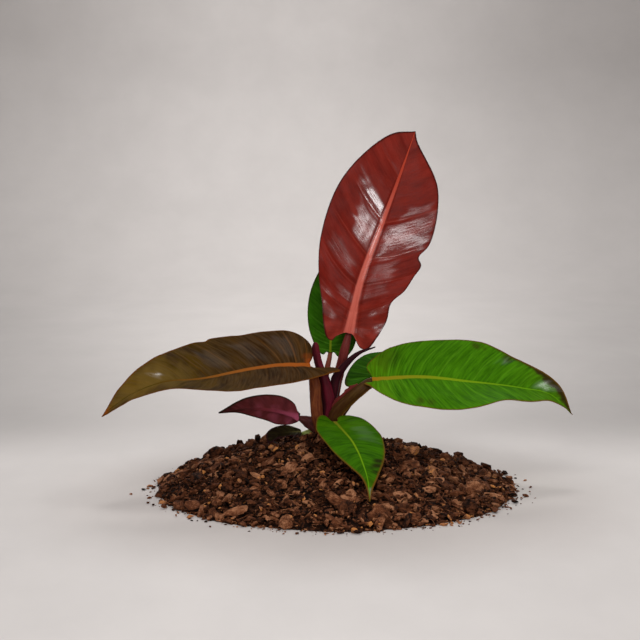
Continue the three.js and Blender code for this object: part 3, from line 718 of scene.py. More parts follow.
def add_node(tree, kind, inputs=None, stops=None, **settings):
    """Adds a node with its settings, and sets each input to a value or links it from a socket."""
    node = tree.nodes.new(kind)
    for name, value in settings.items():
        setattr(node, name, value)
    for name, value in (inputs or {}).items():
        if isinstance(value, bpy.types.NodeSocket):
            tree.links.new(value, node.inputs[name])
        else:
            node.inputs[name].default_value = value
    if stops:
        ramp = node.color_ramp
        while len(ramp.elements) < len(stops):
            ramp.elements.new(1)
        for element, (place, colour) in zip(ramp.elements, stops):
            element.position = place
            element.color = colour
    return node


def new_material(name, roughness, specular):
    """A material with a plain shader, its node tree and its shader node."""
    material = bpy.data.materials.new(name)
    material.use_nodes = True
    shader = material.node_tree.nodes["Principled BSDF"]
    shader.inputs["Roughness"].default_value = roughness
    shader.inputs["Specular IOR Level"].default_value = specular
    return material, material.node_tree, shader


def per_size(millimetres):
    """The scale of a pattern in metres whose features are so many millimetres apart."""
    return 1 / (millimetres * MM)


# Colours of each leaf finish: the blade at its base, beyond its middle and at its tip, the shade
# of its clouds, streaks, side veins, the midrib's foot, middle and end, underside, rim, blotches
# and flushes. Then how strong some of them are, and the gloss. The main colours of blade and
# midrib are settings, or stand here for the leaves that have none.
LEAF_LOOKS = {
    "red": {"base": "7e281e", "far": "6a180f", "tip": "74221a", "shade": "460c08",
            "streak": "8a3626", "vein": "96392a", "midrib_foot": "ac5044",
            "midrib_middle": "b85a4c", "midrib_end": "9a3420", "under": "6a2a26",
            "rim": "2a0806", "blotch": "3a0d0b", "flush": "a04030", "mottling": 0.66,
            "streaking": 0.12, "veining": 0.32, "specks": 0.1, "roughness": (0.3, 0.42),
            "specular": 0.05, "streak_depth": 0.09},
    # The bronze leaf's grey streak colour is partly grey streaking in its tissue and partly a
    # painted sheen, in place of the reflection that its low specular leaves out
    "bronze": {"base": "40290f", "far": "443206", "tip": "644808", "shade": "1a0e04",
               "streak": "564430", "vein": "74481a", "midrib_foot": "8e4a1a",
               "midrib_middle": "7c4a1c", "midrib_end": "40340a", "under": "54261c",
               "rim": "5c3410", "blotch": "98400e", "flush": "6a5424", "mottling": 0.85,
               "streaking": 0.38, "veining": 0.42, "specks": 0.2, "roughness": (0.6, 0.75),
               "specular": 0.004, "streak_depth": 0.05},
    "green": {"base": "466803", "far": "325f04", "tip": "3e5606", "shade": "183e02",
              "streak": "4e8a10", "vein": "60981c", "midrib_foot": "8c5c14",
              "midrib_middle": "6a8610", "midrib_end": "56860e", "under": "5a8a3a",
              "rim": "5c4014", "blotch": "2c140c", "flush": "8a8a74", "mottling": 0.85,
              "streaking": 0.5, "veining": 0.32, "specks": 0.3, "roughness": (0.55, 0.7),
              "specular": 0.008, "streak_depth": 0.05},
    "deep_green": {"blade": "2e5603", "midrib": "626c14", "base": "406003", "far": "2c5604",
                   "tip": "3a4e06", "shade": "163802", "streak": "42760c", "vein": "528418",
                   "midrib_foot": "6a5c1c", "midrib_middle": "6a8610",
                   "midrib_end": "56860e", "under": "5a8a3a", "rim": "5c4014",
                   "blotch": "1e120a", "flush": "8e9080", "mottling": 0.85,
                   "streaking": 0.5, "veining": 0.32, "specks": 0.3,
                   "roughness": (0.55, 0.7), "specular": 0.008, "streak_depth": 0.05},
    "dark_green": {"blade": "2a5808", "midrib": "6c7c16", "base": "2c520a", "far": "26500a",
                   "tip": "22480a", "shade": "143404", "streak": "3c7016", "vein": "4a7c20",
                   "midrib_foot": "6c7c16", "midrib_middle": "5c7c14",
                   "midrib_end": "46701a", "under": "4c7c3a", "rim": "2c2c0c",
                   "blotch": "2c2014", "flush": "3a6a1a", "mottling": 0.75,
                   "streaking": 0.4, "veining": 0.45, "specks": 0.15,
                   "roughness": (0.65, 0.8), "specular": 0.003, "streak_depth": 0.05},
    "purple": {"base": "7a363c", "far": "642a28", "tip": "2c1612", "shade": "481a1c",
               "streak": "7c3a42", "vein": "5c2226", "midrib_foot": "9c4860",
               "midrib_middle": "7a3038", "midrib_end": "3a1812", "under": "1c3a10",
               "rim": "242010", "blotch": "2a1412", "flush": "9e4a5c", "mottling": 0.55,
               "streaking": 0.4, "veining": 0.35, "specks": 0.2, "roughness": (0.45, 0.6),
               "specular": 0.04, "streak_depth": 0.06},
    # Its very dark colours are partly the withered leaf's own and partly painted shade, for a leaf
    # that lies in deep shade on the soil
    "withered": {"blade": "2c2814", "midrib": "55502a", "base": "24200c", "far": "1c140c",
                 "tip": "1c120c", "shade": "140e08", "streak": "2c2410", "vein": "302c14",
                 "midrib_foot": "55502a", "midrib_middle": "2c2814", "midrib_end": "20180c",
                 "under": "2a2012", "rim": "2e161a", "blotch": "1c120c", "flush": "3a2c1c",
                 "mottling": 0.8, "streaking": 0.5, "veining": 0.5, "specks": 0.3,
                 "roughness": (0.6, 0.8), "specular": 0.02, "streak_depth": 0.1},
}

# How far along the midrib each colour of the blade and of the midrib stands
BLADE_STOPS = (0, 0.2, 0.65, 1)
MIDRIB_STOPS = (0, 0.05, 0.4, 0.75)

# Gloss of the patches where the wax is smooth and whole
WAX_ROUGHNESS = 0.17
WAX_SPECULAR = 0.7

# Patterns in the tissue, on coordinates in millimetres that flow along the side veins: their size
# across the veins, how many times longer they are along them, and the part of the noise that they
# rise over.
LEAF_PATTERNS = {
    "clouds": (10, 2.5, 0.36, 0.64),
    "streaks": (1.7, 9, 0.36, 0.66),
    "specks": (1.3, 1.2, 0.68, 0.74),
}

# Skin cells are far finer than a millimetre and are drawn at half of one, so that they show
SKIN_CELL = 0.5


def waxy_leaf(finish, blade=None, midrib=None):
    """A living leaf: a smooth waxy skin over fleshy tissue, so it shines in patches that break
    up into streaks. Tissue is clouded and streaked along its side veins, which show as fine
    lines, and the thin rim is dry and dark."""
    look = LEAF_LOOKS[finish]
    if blade is None:
        blade, midrib = linear(look["blade"]), linear(look["midrib"])
    low, high = look["roughness"]
    material, tree, shader = new_material(f"waxy_{finish}_leaf", high, look["specular"])
    masks = {}
    for mask in ("vein", "rib", "rim", "below", "along", "blotch", "flush", "shine"):
        masks[mask] = add_node(tree, "ShaderNodeAttribute", attribute_name=mask).outputs["Fac"]
    flow = add_node(tree, "ShaderNodeAttribute", attribute_name="flow").outputs["Vector"]
    for name, (millimetres, stretch, least, most) in LEAF_PATTERNS.items():
        drawn = add_node(tree, "ShaderNodeMapping", {
            "Vector": flow, "Scale": (1, 1 / stretch, 1),
        }).outputs["Vector"]
        noise = add_node(tree, "ShaderNodeTexNoise", {
            "Vector": drawn, "Scale": 1 / millimetres, "Detail": 4, "Roughness": 0.6,
        }).outputs["Fac"]
        masks[name] = add_node(tree, "ShaderNodeMapRange", {
            "Value": noise, "From Min": least, "From Max": most,
        }).outputs["Result"]

    blade_colours = (linear(look["base"]), blade, linear(look["far"]), linear(look["tip"]))
    colour = add_node(
        tree, "ShaderNodeValToRGB", {"Fac": masks["along"]}, list(zip(BLADE_STOPS, blade_colours))
    ).outputs["Color"]
    rib_colours = (
        linear(look["midrib_foot"]), midrib, linear(look["midrib_middle"]),
        linear(look["midrib_end"]),
    )
    rib_colour = add_node(
        tree, "ShaderNodeValToRGB", {"Fac": masks["along"]}, list(zip(MIDRIB_STOPS, rib_colours))
    ).outputs["Color"]
    layers = (
        ("clouds", look["mottling"], linear(look["shade"])),
        ("streaks", look["streaking"], linear(look["streak"])),
        ("vein", look["veining"], linear(look["vein"])),
        ("specks", look["specks"], linear(look["blotch"])),
        ("below", 1, linear(look["under"])),
        ("flush", 1, linear(look["flush"])),
        ("rib", 1, rib_colour),
        ("blotch", 1, linear(look["blotch"])),
        ("rim", 1, linear(look["rim"])),
    )
    for mask, strength, over in layers:
        share = add_node(tree, "ShaderNodeMath", {
            0: masks[mask], 1: strength,
        }, operation="MULTIPLY").outputs["Value"]
        colour = add_node(tree, "ShaderNodeMix", {
            MIX_SHARE: share, MIX_FIRST: colour, MIX_SECOND: over,
        }, data_type="RGBA").outputs[MIX_RESULT]
    tree.links.new(colour, shader.inputs["Base Color"])

    gloss = add_node(tree, "ShaderNodeMapRange", {
        "Value": masks["streaks"], "To Min": low, "To Max": high,
    }).outputs["Result"]
    polished = add_node(tree, "ShaderNodeMapRange", {
        "Value": masks["shine"], "To Min": gloss, "To Max": WAX_ROUGHNESS,
    }).outputs["Result"]
    tree.links.new(polished, shader.inputs["Roughness"])
    mirroring = add_node(tree, "ShaderNodeMapRange", {
        "Value": masks["shine"], "To Min": look["specular"], "To Max": WAX_SPECULAR,
    }).outputs["Result"]
    tree.links.new(mirroring, shader.inputs["Specular IOR Level"])

    cells = add_node(tree, "ShaderNodeTexNoise", {
        "Vector": add_node(tree, "ShaderNodeTexCoord").outputs["Object"],
        "Scale": per_size(SKIN_CELL), "Detail": 2,
    }).outputs["Fac"]
    skin = add_node(tree, "ShaderNodeBump", {
        "Strength": 0.25, "Distance": 0.04 * MM, "Height": cells,
    }).outputs["Normal"]
    streaked = add_node(tree, "ShaderNodeBump", {
        "Strength": 0.6, "Distance": look["streak_depth"] * MM, "Height": masks["streaks"],
        "Normal": skin,
    }).outputs["Normal"]
    tree.links.new(streaked, shader.inputs["Normal"])
    return material


def leaf_frame(leaf):
    """The length of a leaf's midrib, and a function from a distance along it to the middle of
    the blade there, the ways up and right, and the share of the length."""
    point_at, length = curve_through(leaf["midrib"])

    def at(along):
        share = np.clip(along / length, 0, 1)
        forward = direction_of(point_at, share)
        facing = keyed(leaf["face"], share)
        up = unit(facing - forward * (facing * forward).sum(-1, keepdims=True))
        right = np.cross(forward, up)
        centre = point_at(share) + forward * np.minimum(along, 0)[..., None]
        return centre, forward, up, right, share

    return length, at


def lay_flat(leaf, half):
    """Half a blade laid flat, for each row along a side vein and column out to the margin: the
    shares along and out, the width, and the distances along and out from the midrib."""
    length, _ = leaf_frame(leaf)
    outline, _ = curve_through([[0, 0], *half["outline"]])
    fine = outline(np.linspace(0, 1, OUTLINE_STEPS + 1))
    begun = np.argmax(fine[:, 1] >= half["outline"][0][1])
    lobe = (begun + np.argmin(fine[begun:, 0])) / OUTLINE_STEPS
    share = np.linspace(0, 1, leaf["rows"])[:, None]
    reach = (np.linspace(0, 1, leaf["columns"]) ** COLUMN_CROWDING)[None, :]
    edge = outline(lobe + (1 - lobe) * share)
    bent = np.maximum(0, 1 - share / NOTCH_REACH) ** 2
    bend = (outline(lobe * reach) - outline(lobe) * reach[..., None]) * bent[..., None]
    bow = VEIN_BOW * np.sin(np.pi * reach) * edge[..., 1] * (1 - bent)
    along = lerp(length * share**VEIN_LAG, edge[..., 0], reach) - bow + bend[..., 0]
    out = reach * edge[..., 1] + bend[..., 1]
    return share, reach, edge[..., 1], along, out


def vein_feet(leaf, half, rng):
    """Rows of the mesh on which the side veins lie, as shares: stated, or unevenly spaced as
    they grow."""
    count = leaf["veins"]
    feet = (np.arange(count) + 0.7 + rng.uniform(-0.22, 0.22, count)) / (count + 0.4)
    if "feet" in half:
        length, _ = leaf_frame(leaf)
        feet = (np.array(half["feet"]) / length) ** (1 / VEIN_LAG)
    return np.round(feet * (leaf["rows"] - 1)) / (leaf["rows"] - 1)


def half_blade(leaf, half, rng):
    """Half a blade laid flat: the distances along and out from the midrib, the height of its
    relief, and its masks."""
    length, _ = leaf_frame(leaf)
    share, reach, width, along, out = lay_flat(leaf, half)
    feet = vein_feet(leaf, half, rng)
    count = len(feet)
    spacing = lerp(VEIN_LAG * length * share ** (VEIN_LAG - 1), length * MARGIN_STRETCH, reach)
    nearest = np.abs((share[..., None] - feet) * spacing[..., None]).min(-1)
    between = np.interp(share, np.r_[0, feet, 1], np.arange(count + 2)) % 1
    to_margin = smooth_step(1 - reach, 0, 0.35)
    fade = to_margin * smooth_step(reach, 0.01, 0.1)
    strength = keyed(rng.uniform(0.6, 1.2, count + 2), share)
    strength = strength * keyed(half.get("boldness", (1, 1)), share)
    vein = hump(nearest / VEIN_WIDTH) * (0.25 + 0.75 * to_margin) * strength
    fine_vein = hump((between - 0.5) / FINE_VEIN_SHARE) * 0.3 * to_margin * strength

    groove = hump(nearest / GROOVE_WIDTH) * fade * strength
    bulge = np.sin(np.pi * between) * fade * keyed(rng.uniform(0.3, 1.4, 2 * count), share)
    height = leaf["pucker"] * bulge - leaf["vein_depth"] * groove
    for dent_along, dent_out, size, rise in half.get("dents", ()):
        height = height + rise * hump(np.hypot(along - dent_along, out - dent_out) / size)
    phase = rng.uniform(0, 6)
    height = height + leaf["wave"] * np.sin(5 * np.pi * share + phase) * reach**2

    torn = uneven(share * length + 300 + 0 * out, out / 5 + 300, 2.5, leaf["seed"] + 90)
    shine = 0 * out
    for first, last, near, far, weight in half.get("shine", ()):
        lengthways = window(share + 0.01 * torn, first, last, 0.02)
        patch = lengthways * window(out + 3 * torn, near, far, 5)
        shine = np.maximum(shine, weight * patch)
    from_edge = np.minimum((1 - reach) * width, share * length * MARGIN_STRETCH)
    masks = {
        "vein": np.clip(vein + fine_vein, 0, 1),
        "rim": 1 - smooth_step(from_edge, 0.3, 1.3),
        "from_edge": from_edge,
        "shine": shine,
        "flow": np.stack([share * length * MARGIN_STRETCH + 0 * reach, out, 0 * out], -1),
    }
    return along, out, height, masks


def blade_grid(leaf, relief):
    """The middle surface of a blade from the left margin to the right one, with its masks."""
    rng = np.random.default_rng(leaf["seed"])
    _, at = leaf_frame(leaf)
    sides = []
    for side, half in ((-1, leaf["left"]), (1, leaf["right"])):
        along, out, height, flat = half_blade(leaf, half, rng)
        ripple = uneven(along + 300, side * out + 300, 16, leaf["seed"])
        ripple = ripple + 0.4 * uneven(along + 300, side * out + 300, 7, leaf["seed"] + 50)
        height = height + leaf["ripple"] * ripple * smooth_step(out, 1, 12)
        centre, _, up, right, share = at(along)
        fold = np.radians(keyed(half["fold"], share))
        curl = np.radians(keyed(half["curl"], share))
        curl = np.where(np.abs(curl) < 1e-6, 1e-6, curl)
        across = (np.sin(fold) - np.sin(fold - curl * out)) / curl
        rise = (np.cos(fold - curl * out) - np.cos(fold)) / curl
        lean = fold - curl * out
        across = across - np.sin(lean) * height * relief
        rise = rise + np.cos(lean) * height * relief
        points = centre + right * (side * across)[..., None] + up * rise[..., None]
        lean = lean * smooth_step(out, 0, 3)
        facing = up * np.cos(lean)[..., None] - right * (side * np.sin(lean))[..., None]
        masks = {
            **flat, "along": share, "out": out, "side": np.full(out.shape, side),
            "facing": facing,
        }
        sides.append((points, masks))
    (left, left_masks), (right, right_masks) = sides
    points = np.concatenate([left[:, ::-1], right[:, 1:]], 1)
    masks = {
        key: np.concatenate([left_masks[key][:, ::-1], right_masks[key][:, 1:]], 1)
        for key in left_masks
    }
    return points, masks


def two_sided_faces(rows, columns):
    """Faces of the top and the underside of a blade, joined round its rim."""
    size = rows * columns
    faces = grid_faces(rows, columns)
    faces += grid_faces(rows, columns, size, flipped=True)
    index = np.arange(size).reshape(rows, columns)
    rim = np.r_[index[0, :-1], index[:-1, -1], index[-1, :0:-1], index[:0:-1, 0]]
    after = np.roll(rim, -1)
    faces += np.stack([rim, rim + size, after + size, after], -1).tolist()
    return faces


def stained(stains, masks, ragged):
    """How strongly stains with ragged edges colour each point of a blade."""
    found = np.zeros(ragged.shape)
    for share, place, size, weight in stains:
        lengthways = (masks["along"] - share) * STAIN_LENGTH
        gap = np.hypot(lengthways, masks["side"] * masks["out"] - place)
        found = np.maximum(found, weight * (1 - smooth_step(gap / size * ragged, 0.2, 1.2)))
    return found


def grow_leaf(name, material, settings):
    """A leaf with its rib below: two faces of a thin blade, joined round the rim."""
    leaf = LEAVES[name]
    points, masks = blade_grid(leaf, settings.relief)
    rows, columns = points.shape[:2]
    normal = masks["facing"]
    share, out = masks["along"], masks["out"]
    half = settings.thickness / MM / 2 * lerp(0.35, 1, smooth_step(masks["from_edge"], 0, 1.2))

    band = leaf["midrib_base"] * np.maximum(keyed(leaf["midrib_widths"], share), 0.06)
    crest = 0.22 * band * np.clip(1 - (out / band) ** 2, 0, 1)
    gutter = 0.12 * band * hump((out - band * 1.25) / (0.35 * band))
    taper = keyed([leaf["midrib_base"] * f for f in RIB_TAPER] + [RIB_TIP], share / RIB_END)
    taper = taper + leaf.get("boss", 0) * hump(share / 0.06)
    radius = taper * (1 - smooth_step(share, RIB_END, RIB_END + 0.1))
    round_rib = np.sqrt(np.clip(1 - (out / np.maximum(radius, 0.05)) ** 2, 0, 1))
    depth = np.maximum(2 * radius - RIB_SINK - half, 0) * round_rib
    from_notch = masks["flow"][..., 0]
    flare = (1 - smooth_step(from_notch, 0.9, 2.6)) * (1 - smooth_step(out, 4, 13))
    flare = flare * leaf.get("flare", 0)
    top = points + normal * (half + crest - gutter + 0.7 * flare * (out > band))[..., None]
    base = points - normal * (half + depth)[..., None]

    rib_top = np.maximum(1 - smooth_step(out, band * 0.75, band * 1.05 + 0.15), flare)
    rib_below = 1 - smooth_step(out, radius * 0.9, radius * 1.1 + 0.1)
    ragged = 1 + 0.4 * uneven(points[..., 0] + 300, points[..., 2] + 300, 4, 5)
    flush = stained(leaf.get("flushes", ()), masks, ragged)
    spots = stained(leaf.get("blotches", ()), masks, ragged)
    for side, start, widths in leaf.get("scorched", ()):
        reached = (share - start) / (1 - start)
        width = keyed(widths, reached) * smooth_step(reached, 0, 0.1)
        scorch = smooth_step(width * ragged - masks["from_edge"], -1.6, 1.2)
        spots = np.maximum(spots, 0.9 * scorch * (masks["side"] == side))

    def both(first, second):
        return np.r_[first.ravel(), second.ravel()]

    turned = leaf.get("upside_down", False)
    attributes = {
        "vein": both(masks["vein"], masks["vein"] * 0.5),
        "rib": both(rib_top, rib_below),
        "rim": both(masks["rim"], masks["rim"]),
        "below": np.repeat([turned, not turned], rows * columns),
        "along": both(share, share),
        "blotch": both(spots, spots * 0.6),
        "flush": both(flush * (not turned), flush * turned),
        "shine": both(masks["shine"], 0 * out),
        "flow": np.tile((masks["flow"] + [0, 0, leaf["seed"] * 40]).reshape(-1, 3), (2, 1)),
    }
    all_points = np.concatenate([top.reshape(-1, 3), base.reshape(-1, 3)])
    return add_piece(
        f"{name}_leaf_blade", all_points, two_sided_faces(rows, columns), material,
        attributes, [f"leaf_{name}"],
    )


def rod_grid(points, width, depth, across, steps, sides, section=None):
    """Rings of points round a line, each with its share of the length and its angle."""
    point_at, _ = curve_through(points)
    share = np.linspace(0, 1, steps)
    forward = direction_of(point_at, share, 0.01)
    across = np.asarray(across, float)
    wide = unit(across - forward * (forward @ across)[:, None])
    deep = np.cross(forward, wide)
    angle = np.linspace(0, 2 * np.pi, sides, endpoint=False)
    share_grid, angle_grid = np.meshgrid(share, angle, indexing="ij")
    factor = section(share_grid, angle_grid) if section else np.ones(share_grid.shape)
    x = np.cos(angle_grid) * keyed(width, share_grid) * factor
    y = np.sin(angle_grid) * keyed(depth, share_grid) * factor
    rings = point_at(share)[:, None] + wide[:, None] * x[..., None] + deep[:, None] * y[..., None]
    return rings, share_grid, angle_grid


def rod_faces(steps, sides, start=0):
    """Faces round the rings of a rod and over its two ends."""
    faces = grid_faces(steps, sides, start, closed=True)
    last = start + (steps - 1) * sides
    faces.append([start + side for side in reversed(range(sides))])
    faces.append([last + side for side in range(sides)])
    return faces


def free_edge_turn(share, angle):
    """How far round from its free edge each point of a rolled leaf is, from 0 to 1."""
    return ((angle + FREE_EDGE_WIND * share + FREE_EDGE_START) / (2 * np.pi)) % 1


def stalk_section(kind, seed, ridge):
    """How a stem's section departs from an oval, by its kind: a leaf stalk has a shallow groove
    down its inner side or a thin pale edge, a sheath a keel, and a rolled leaf the step of its
    free edge."""

    def section(share, angle):
        fibres = ridge * np.sin(angle * RIDGE_COUNT + seed + 0.8 * np.sin(share * 5 + seed))
        lumps = 0.03 * uneven(share * 60 + 40, 3 * np.cos(angle) + 40, 4, seed)
        facing = np.cos(angle + np.pi / 2)
        if kind == "edged":
            return 1 + fibres + lumps
        if kind == "grooved":
            return 1 + fibres + lumps - 0.16 * hump((facing + 1) / 0.12)
        if kind == "keeled":
            keel = 0.22 * hump((facing - 1) / 0.05)
            hollow = 0.14 * hump((np.sin(angle * 2) - 0.6) / 0.4)
            blunt = np.sqrt(np.clip(1 - (np.maximum(share - 0.94, 0) / 0.06) ** 2, 0.01, 1))
            return (1 + fibres + lumps + keel - hollow) * blunt
        return 0.92 + 0.16 * free_edge_turn(share, angle) + 0.5 * fibres + lumps

    return section


# Colours of each stem finish: foot, groove and streaks, and the top where no setting states it
STEM_LOOKS = {
    "maroon": {"foot": "521c1a", "groove": "2a0e10", "streak": "74302c", "roughness": 0.36},
    "sheath": {"foot": "5a1022", "groove": "1c070a", "streak": "3c1016", "roughness": 0.42},
    "shoot": {"foot": "3c1018", "groove": "604448", "streak": "1a0a0e", "roughness": 0.34},
    "bronze": {"foot": "4a2014", "groove": "2c120c", "streak": "7c4424", "roughness": 0.42},
    "rose": {"top": "7a3c2c", "foot": "5c2820", "groove": "3c1814", "streak": "8c5038",
             "roughness": 0.4},
    "brown": {"top": "342410", "foot": "3c1c10", "groove": "24120a", "streak": "4c3416",
              "roughness": 0.42},
    "olive": {"top": "33200c", "foot": "3e2010", "groove": "80541a", "streak": "4e3816",
              "roughness": 0.42},
    "dusky": {"top": "44201c", "foot": "362018", "groove": "2a1412", "streak": "643034",
              "roughness": 0.4},
    "pale": {"top": "8c9a4a", "foot": "7c843c", "groove": "7c3a3c", "streak": "a0a86c",
             "roughness": 0.45},
    "crown": {"top": "6a4a30", "foot": "4a3020", "groove": "2c1c12", "streak": "3c281a",
              "roughness": 0.7},
}


def stalk_skin(finish, top):
    """A living leaf stalk: juicy tissue under a thin smooth skin with fine lengthwise ridges,
    its red pigment stronger in some streaks than in others."""
    look = STEM_LOOKS[finish]
    material, tree, shader = new_material(f"{finish}_stalk_skin", look["roughness"], 0.05)
    masks = {}
    for mask in ("along", "groove"):
        masks[mask] = add_node(tree, "ShaderNodeAttribute", attribute_name=mask).outputs["Fac"]
    flow = add_node(tree, "ShaderNodeAttribute", attribute_name="flow").outputs["Vector"]
    fibres = add_node(tree, "ShaderNodeTexNoise", {
        "Vector": flow, "Scale": 1 / STALK_FIBRE, "Detail": 4, "Roughness": 0.6,
    }).outputs["Fac"]
    masks["streak"] = add_node(tree, "ShaderNodeMapRange", {
        "Value": fibres, "From Min": 0.42, "From Max": 0.68, "To Max": 0.7,
    }).outputs["Result"]
    colour = linear(look["foot"])
    layers = (
        ("along", top),
        ("streak", linear(look["streak"])),
        ("groove", linear(look["groove"])),
    )
    for mask, over in layers:
        colour = add_node(tree, "ShaderNodeMix", {
            MIX_SHARE: masks[mask], MIX_FIRST: colour, MIX_SECOND: over,
        }, data_type="RGBA").outputs[MIX_RESULT]
    tree.links.new(colour, shader.inputs["Base Color"])
    bump = add_node(tree, "ShaderNodeBump", {
        "Strength": 0.5, "Distance": 0.12 * MM, "Height": fibres,
    }).outputs["Normal"]
    tree.links.new(bump, shader.inputs["Normal"])
    return material


def lengthwise(share, angle, seed=0):
    """Coordinates round a stem, in millimetres, and much shorter along it, so that a pattern
    drawn on them runs lengthwise."""
    turn = np.stack([3 * np.cos(angle), 3 * np.sin(angle), 6 * share + 20 * seed], -1)
    return turn.reshape(-1, 3)


def grow_stem(name, material, ridge):
    """A stem; one with a leaf runs on under the leaf's base, flush with the blade."""
    stem = STEMS[name]
    seed = sorted(STEMS).index(name)
    points = [list(map(float, point)) for point in stem["path"]]
    width, depth = list(stem["width"]), list(stem["depth"])
    if "leaf" in stem:
        leaf = LEAVES[stem["leaf"]]
        _, at = leaf_frame(leaf)
        centre, forward, up, _, _ = (value[0] for value in at(np.zeros(1)))
        base = leaf["midrib_base"] * STEM_TOP_SHARE
        top = stem.get("top", (base, base))
        foot = centre - up * leaf["midrib_base"] * STEM_SINK
        points += [(foot - forward).tolist(), (foot + forward * STEM_OVERRUN).tolist()]
        width.append(top[0])
        depth.append(top[1])
    section = stalk_section(stem["section"], seed, ridge / MM / 4)
    rings, share, angle = rod_grid(
        points, width, depth, stem.get("across", FACING_FRONT), stem["steps"], STEM_SIDES, section
    )
    facing = np.cos(angle + np.pi / 2)
    groove = hump((facing + 1) / 0.15)
    if stem["section"] == "edged":
        groove = 0.8 * smooth_step(-np.cos(angle), 0.6, 0.98)
    if stem["section"] == "keeled":
        groove = smooth_step(-np.cos(angle), -0.1, 0.5) * (1 - 0.4 * share)
    if stem["section"] == "rolled":
        groove = smooth_step(free_edge_turn(share, angle), 0.9, 0.98)
    attributes = {
        "along": share.ravel(), "groove": groove.ravel(), "flow": lengthwise(share, angle, seed),
    }
    return add_piece(
        f"{name}_skin", rings.reshape(-1, 3), rod_faces(stem["steps"], STEM_SIDES), material,
        attributes, [name], sharp=50,
    )


def grow_wing(name, material):
    """The thin, torn membrane along the upper edge of a stalk."""
    stem = STEMS[name]

    def torn(share, angle):
        outer = smooth_step(np.cos(angle), 0, 0.6)
        return 1 + outer * 0.25 * uneven(share * 90 + 5, 0 * share + 5, 3, 7)

    rings, share, angle = rod_grid(
        stem["wing"], WING_WIDTH, WING_DEPTH, stem["across"], WING_STEPS, WING_SIDES, torn
    )
    attributes = {
        "along": share.ravel(), "groove": 0 * share.ravel(), "flow": lengthwise(share, angle),
    }
    return add_piece(
        f"{name}_wing", rings.reshape(-1, 3), rod_faces(WING_STEPS, WING_SIDES), material,
        attributes,
    )


def from_crown(x, y):
    return np.hypot(x - CROWN_TOP[0], y - CROWN_TOP[1])


def mound_height(x, y):
    """Height of the mound's surface, a little fuller towards -X and banked up at the crown."""
    reach = np.minimum(np.hypot(x, y) / MOUND_RADIUS, 1)
    lean = -x / MOUND_RADIUS * MOUND_LEAN * 4 * reach * (1 - reach)
    collar = COLLAR_HEIGHT * hump(from_crown(x, y) / COLLAR_RADIUS)
    return MOUND_HEIGHT * (1 - reach**MOUND_SHOULDER) + lean + collar


def mound_facing(x, y):
    """The way that the mound's surface faces, from its height 1 mm to each side."""
    slope_x = mound_height(x + 1, y) - mound_height(x - 1, y)
    slope_y = mound_height(x, y + 1) - mound_height(x, y - 1)
    return unit(np.stack([-slope_x, -slope_y, np.full(np.shape(x), 2.0)], -1))


def bark_shape(rng, level):
    """An uneven lump a millimetre long with broken facets: its points and triangles."""
    mesh = bmesh.new()
    bmesh.ops.create_icosphere(mesh, subdivisions=level, radius=0.5)
    points = np.array([vertex.co for vertex in mesh.verts])
    triangles = np.array([[vertex.index for vertex in face.verts] for face in mesh.faces])
    mesh.free()
    for _ in range(8):
        facing = unit(rng.normal(size=3))
        over = points @ facing - rng.uniform(0.16, 0.4)
        points = points - facing * np.maximum(over, 0)[:, None]
    points = points + rng.normal(scale=0.02, size=points.shape)
    points = points - (points.max(0) + points.min(0)) / 2
    return points / np.ptp(points, axis=0), triangles


def lay_bits(rng, kind, x, y, length, tone, floor=False):
    """Bits of one kind of bark laid at places on the mound, or on the floor beside it: their
    points, triangles and attributes."""
    shapes = [bark_shape(rng, kind["level"]) for _ in range(kind["shapes"])]
    which = rng.integers(0, len(shapes), len(x))
    facing = mound_facing(x, y)
    if floor:
        facing = np.tile([0.0, 0.0, 1.0], (len(x), 1))
    up = unit(facing + kind["tilt"] * rng.normal(scale=0.5, size=facing.shape))
    yaw = rng.uniform(0, 2 * np.pi, len(x))
    level = np.stack([np.cos(yaw), np.sin(yaw), np.zeros(len(x))], -1)
    side = unit(np.cross(up, level))
    front = np.cross(side, up)
    axes = np.stack([front, side, up], 1)
    width = length * kind["width"] * rng.uniform(0.4, 1.4, len(x))
    thick = length * kind["thickness"] * rng.uniform(0.7, 1.3, len(x))
    size = np.stack([length, width, thick], -1)
    raised = kind["lift"] * thick * rng.uniform(0, 2.5, len(x))
    ground = 0.5 * thick if floor else mound_height(x, y) + raised
    centre = np.stack([x, y, np.maximum(ground, 0.5 * thick)], -1)
    points, triangles, local, tones, start = [], [], [], [], 0
    for index, (shape, shape_triangles) in enumerate(shapes):
        chosen = np.flatnonzero(which == index)
        sized = shape[None] * size[chosen][:, None]
        placed = np.einsum("nvk,nkc->nvc", sized, axes[chosen]) + centre[chosen][:, None]
        offsets = start + np.arange(len(chosen)) * len(shape)
        points.append(placed.reshape(-1, 3))
        triangles.append((shape_triangles[None] + offsets[:, None, None]).reshape(-1, 3))
        shift = rng.uniform(-500, 500, (len(chosen), 1, 3))
        local.append((sized + shift).reshape(-1, 3))
        tones.append(np.repeat(tone[chosen], len(shape)))
        start += len(chosen) * len(shape)
    points = np.concatenate(points)
    points[:, 2] = np.maximum(points[:, 2], 0.05)
    attributes = {"local": np.concatenate(local), "tone": np.concatenate(tones)}
    return points, np.concatenate(triangles).tolist(), attributes


def rim_raggedness(around):
    """How far the mound's rim strays out or in, from 1 to -1, at each angle round it."""
    return uneven(around * 12 + 30, around * 0 + 3, 2, 8)


def scatter(rng, count):
    """Places spread evenly over the mound, out to its ragged rim."""
    around = rng.uniform(0, 2 * np.pi, count)
    rim = MOUND_RADIUS + PIECES_RIM * rim_raggedness(around)
    out = (rim - PIECES_INSIDE) * np.sqrt(rng.uniform(0.01, 1, count))
    return out * np.cos(around), out * np.sin(around)


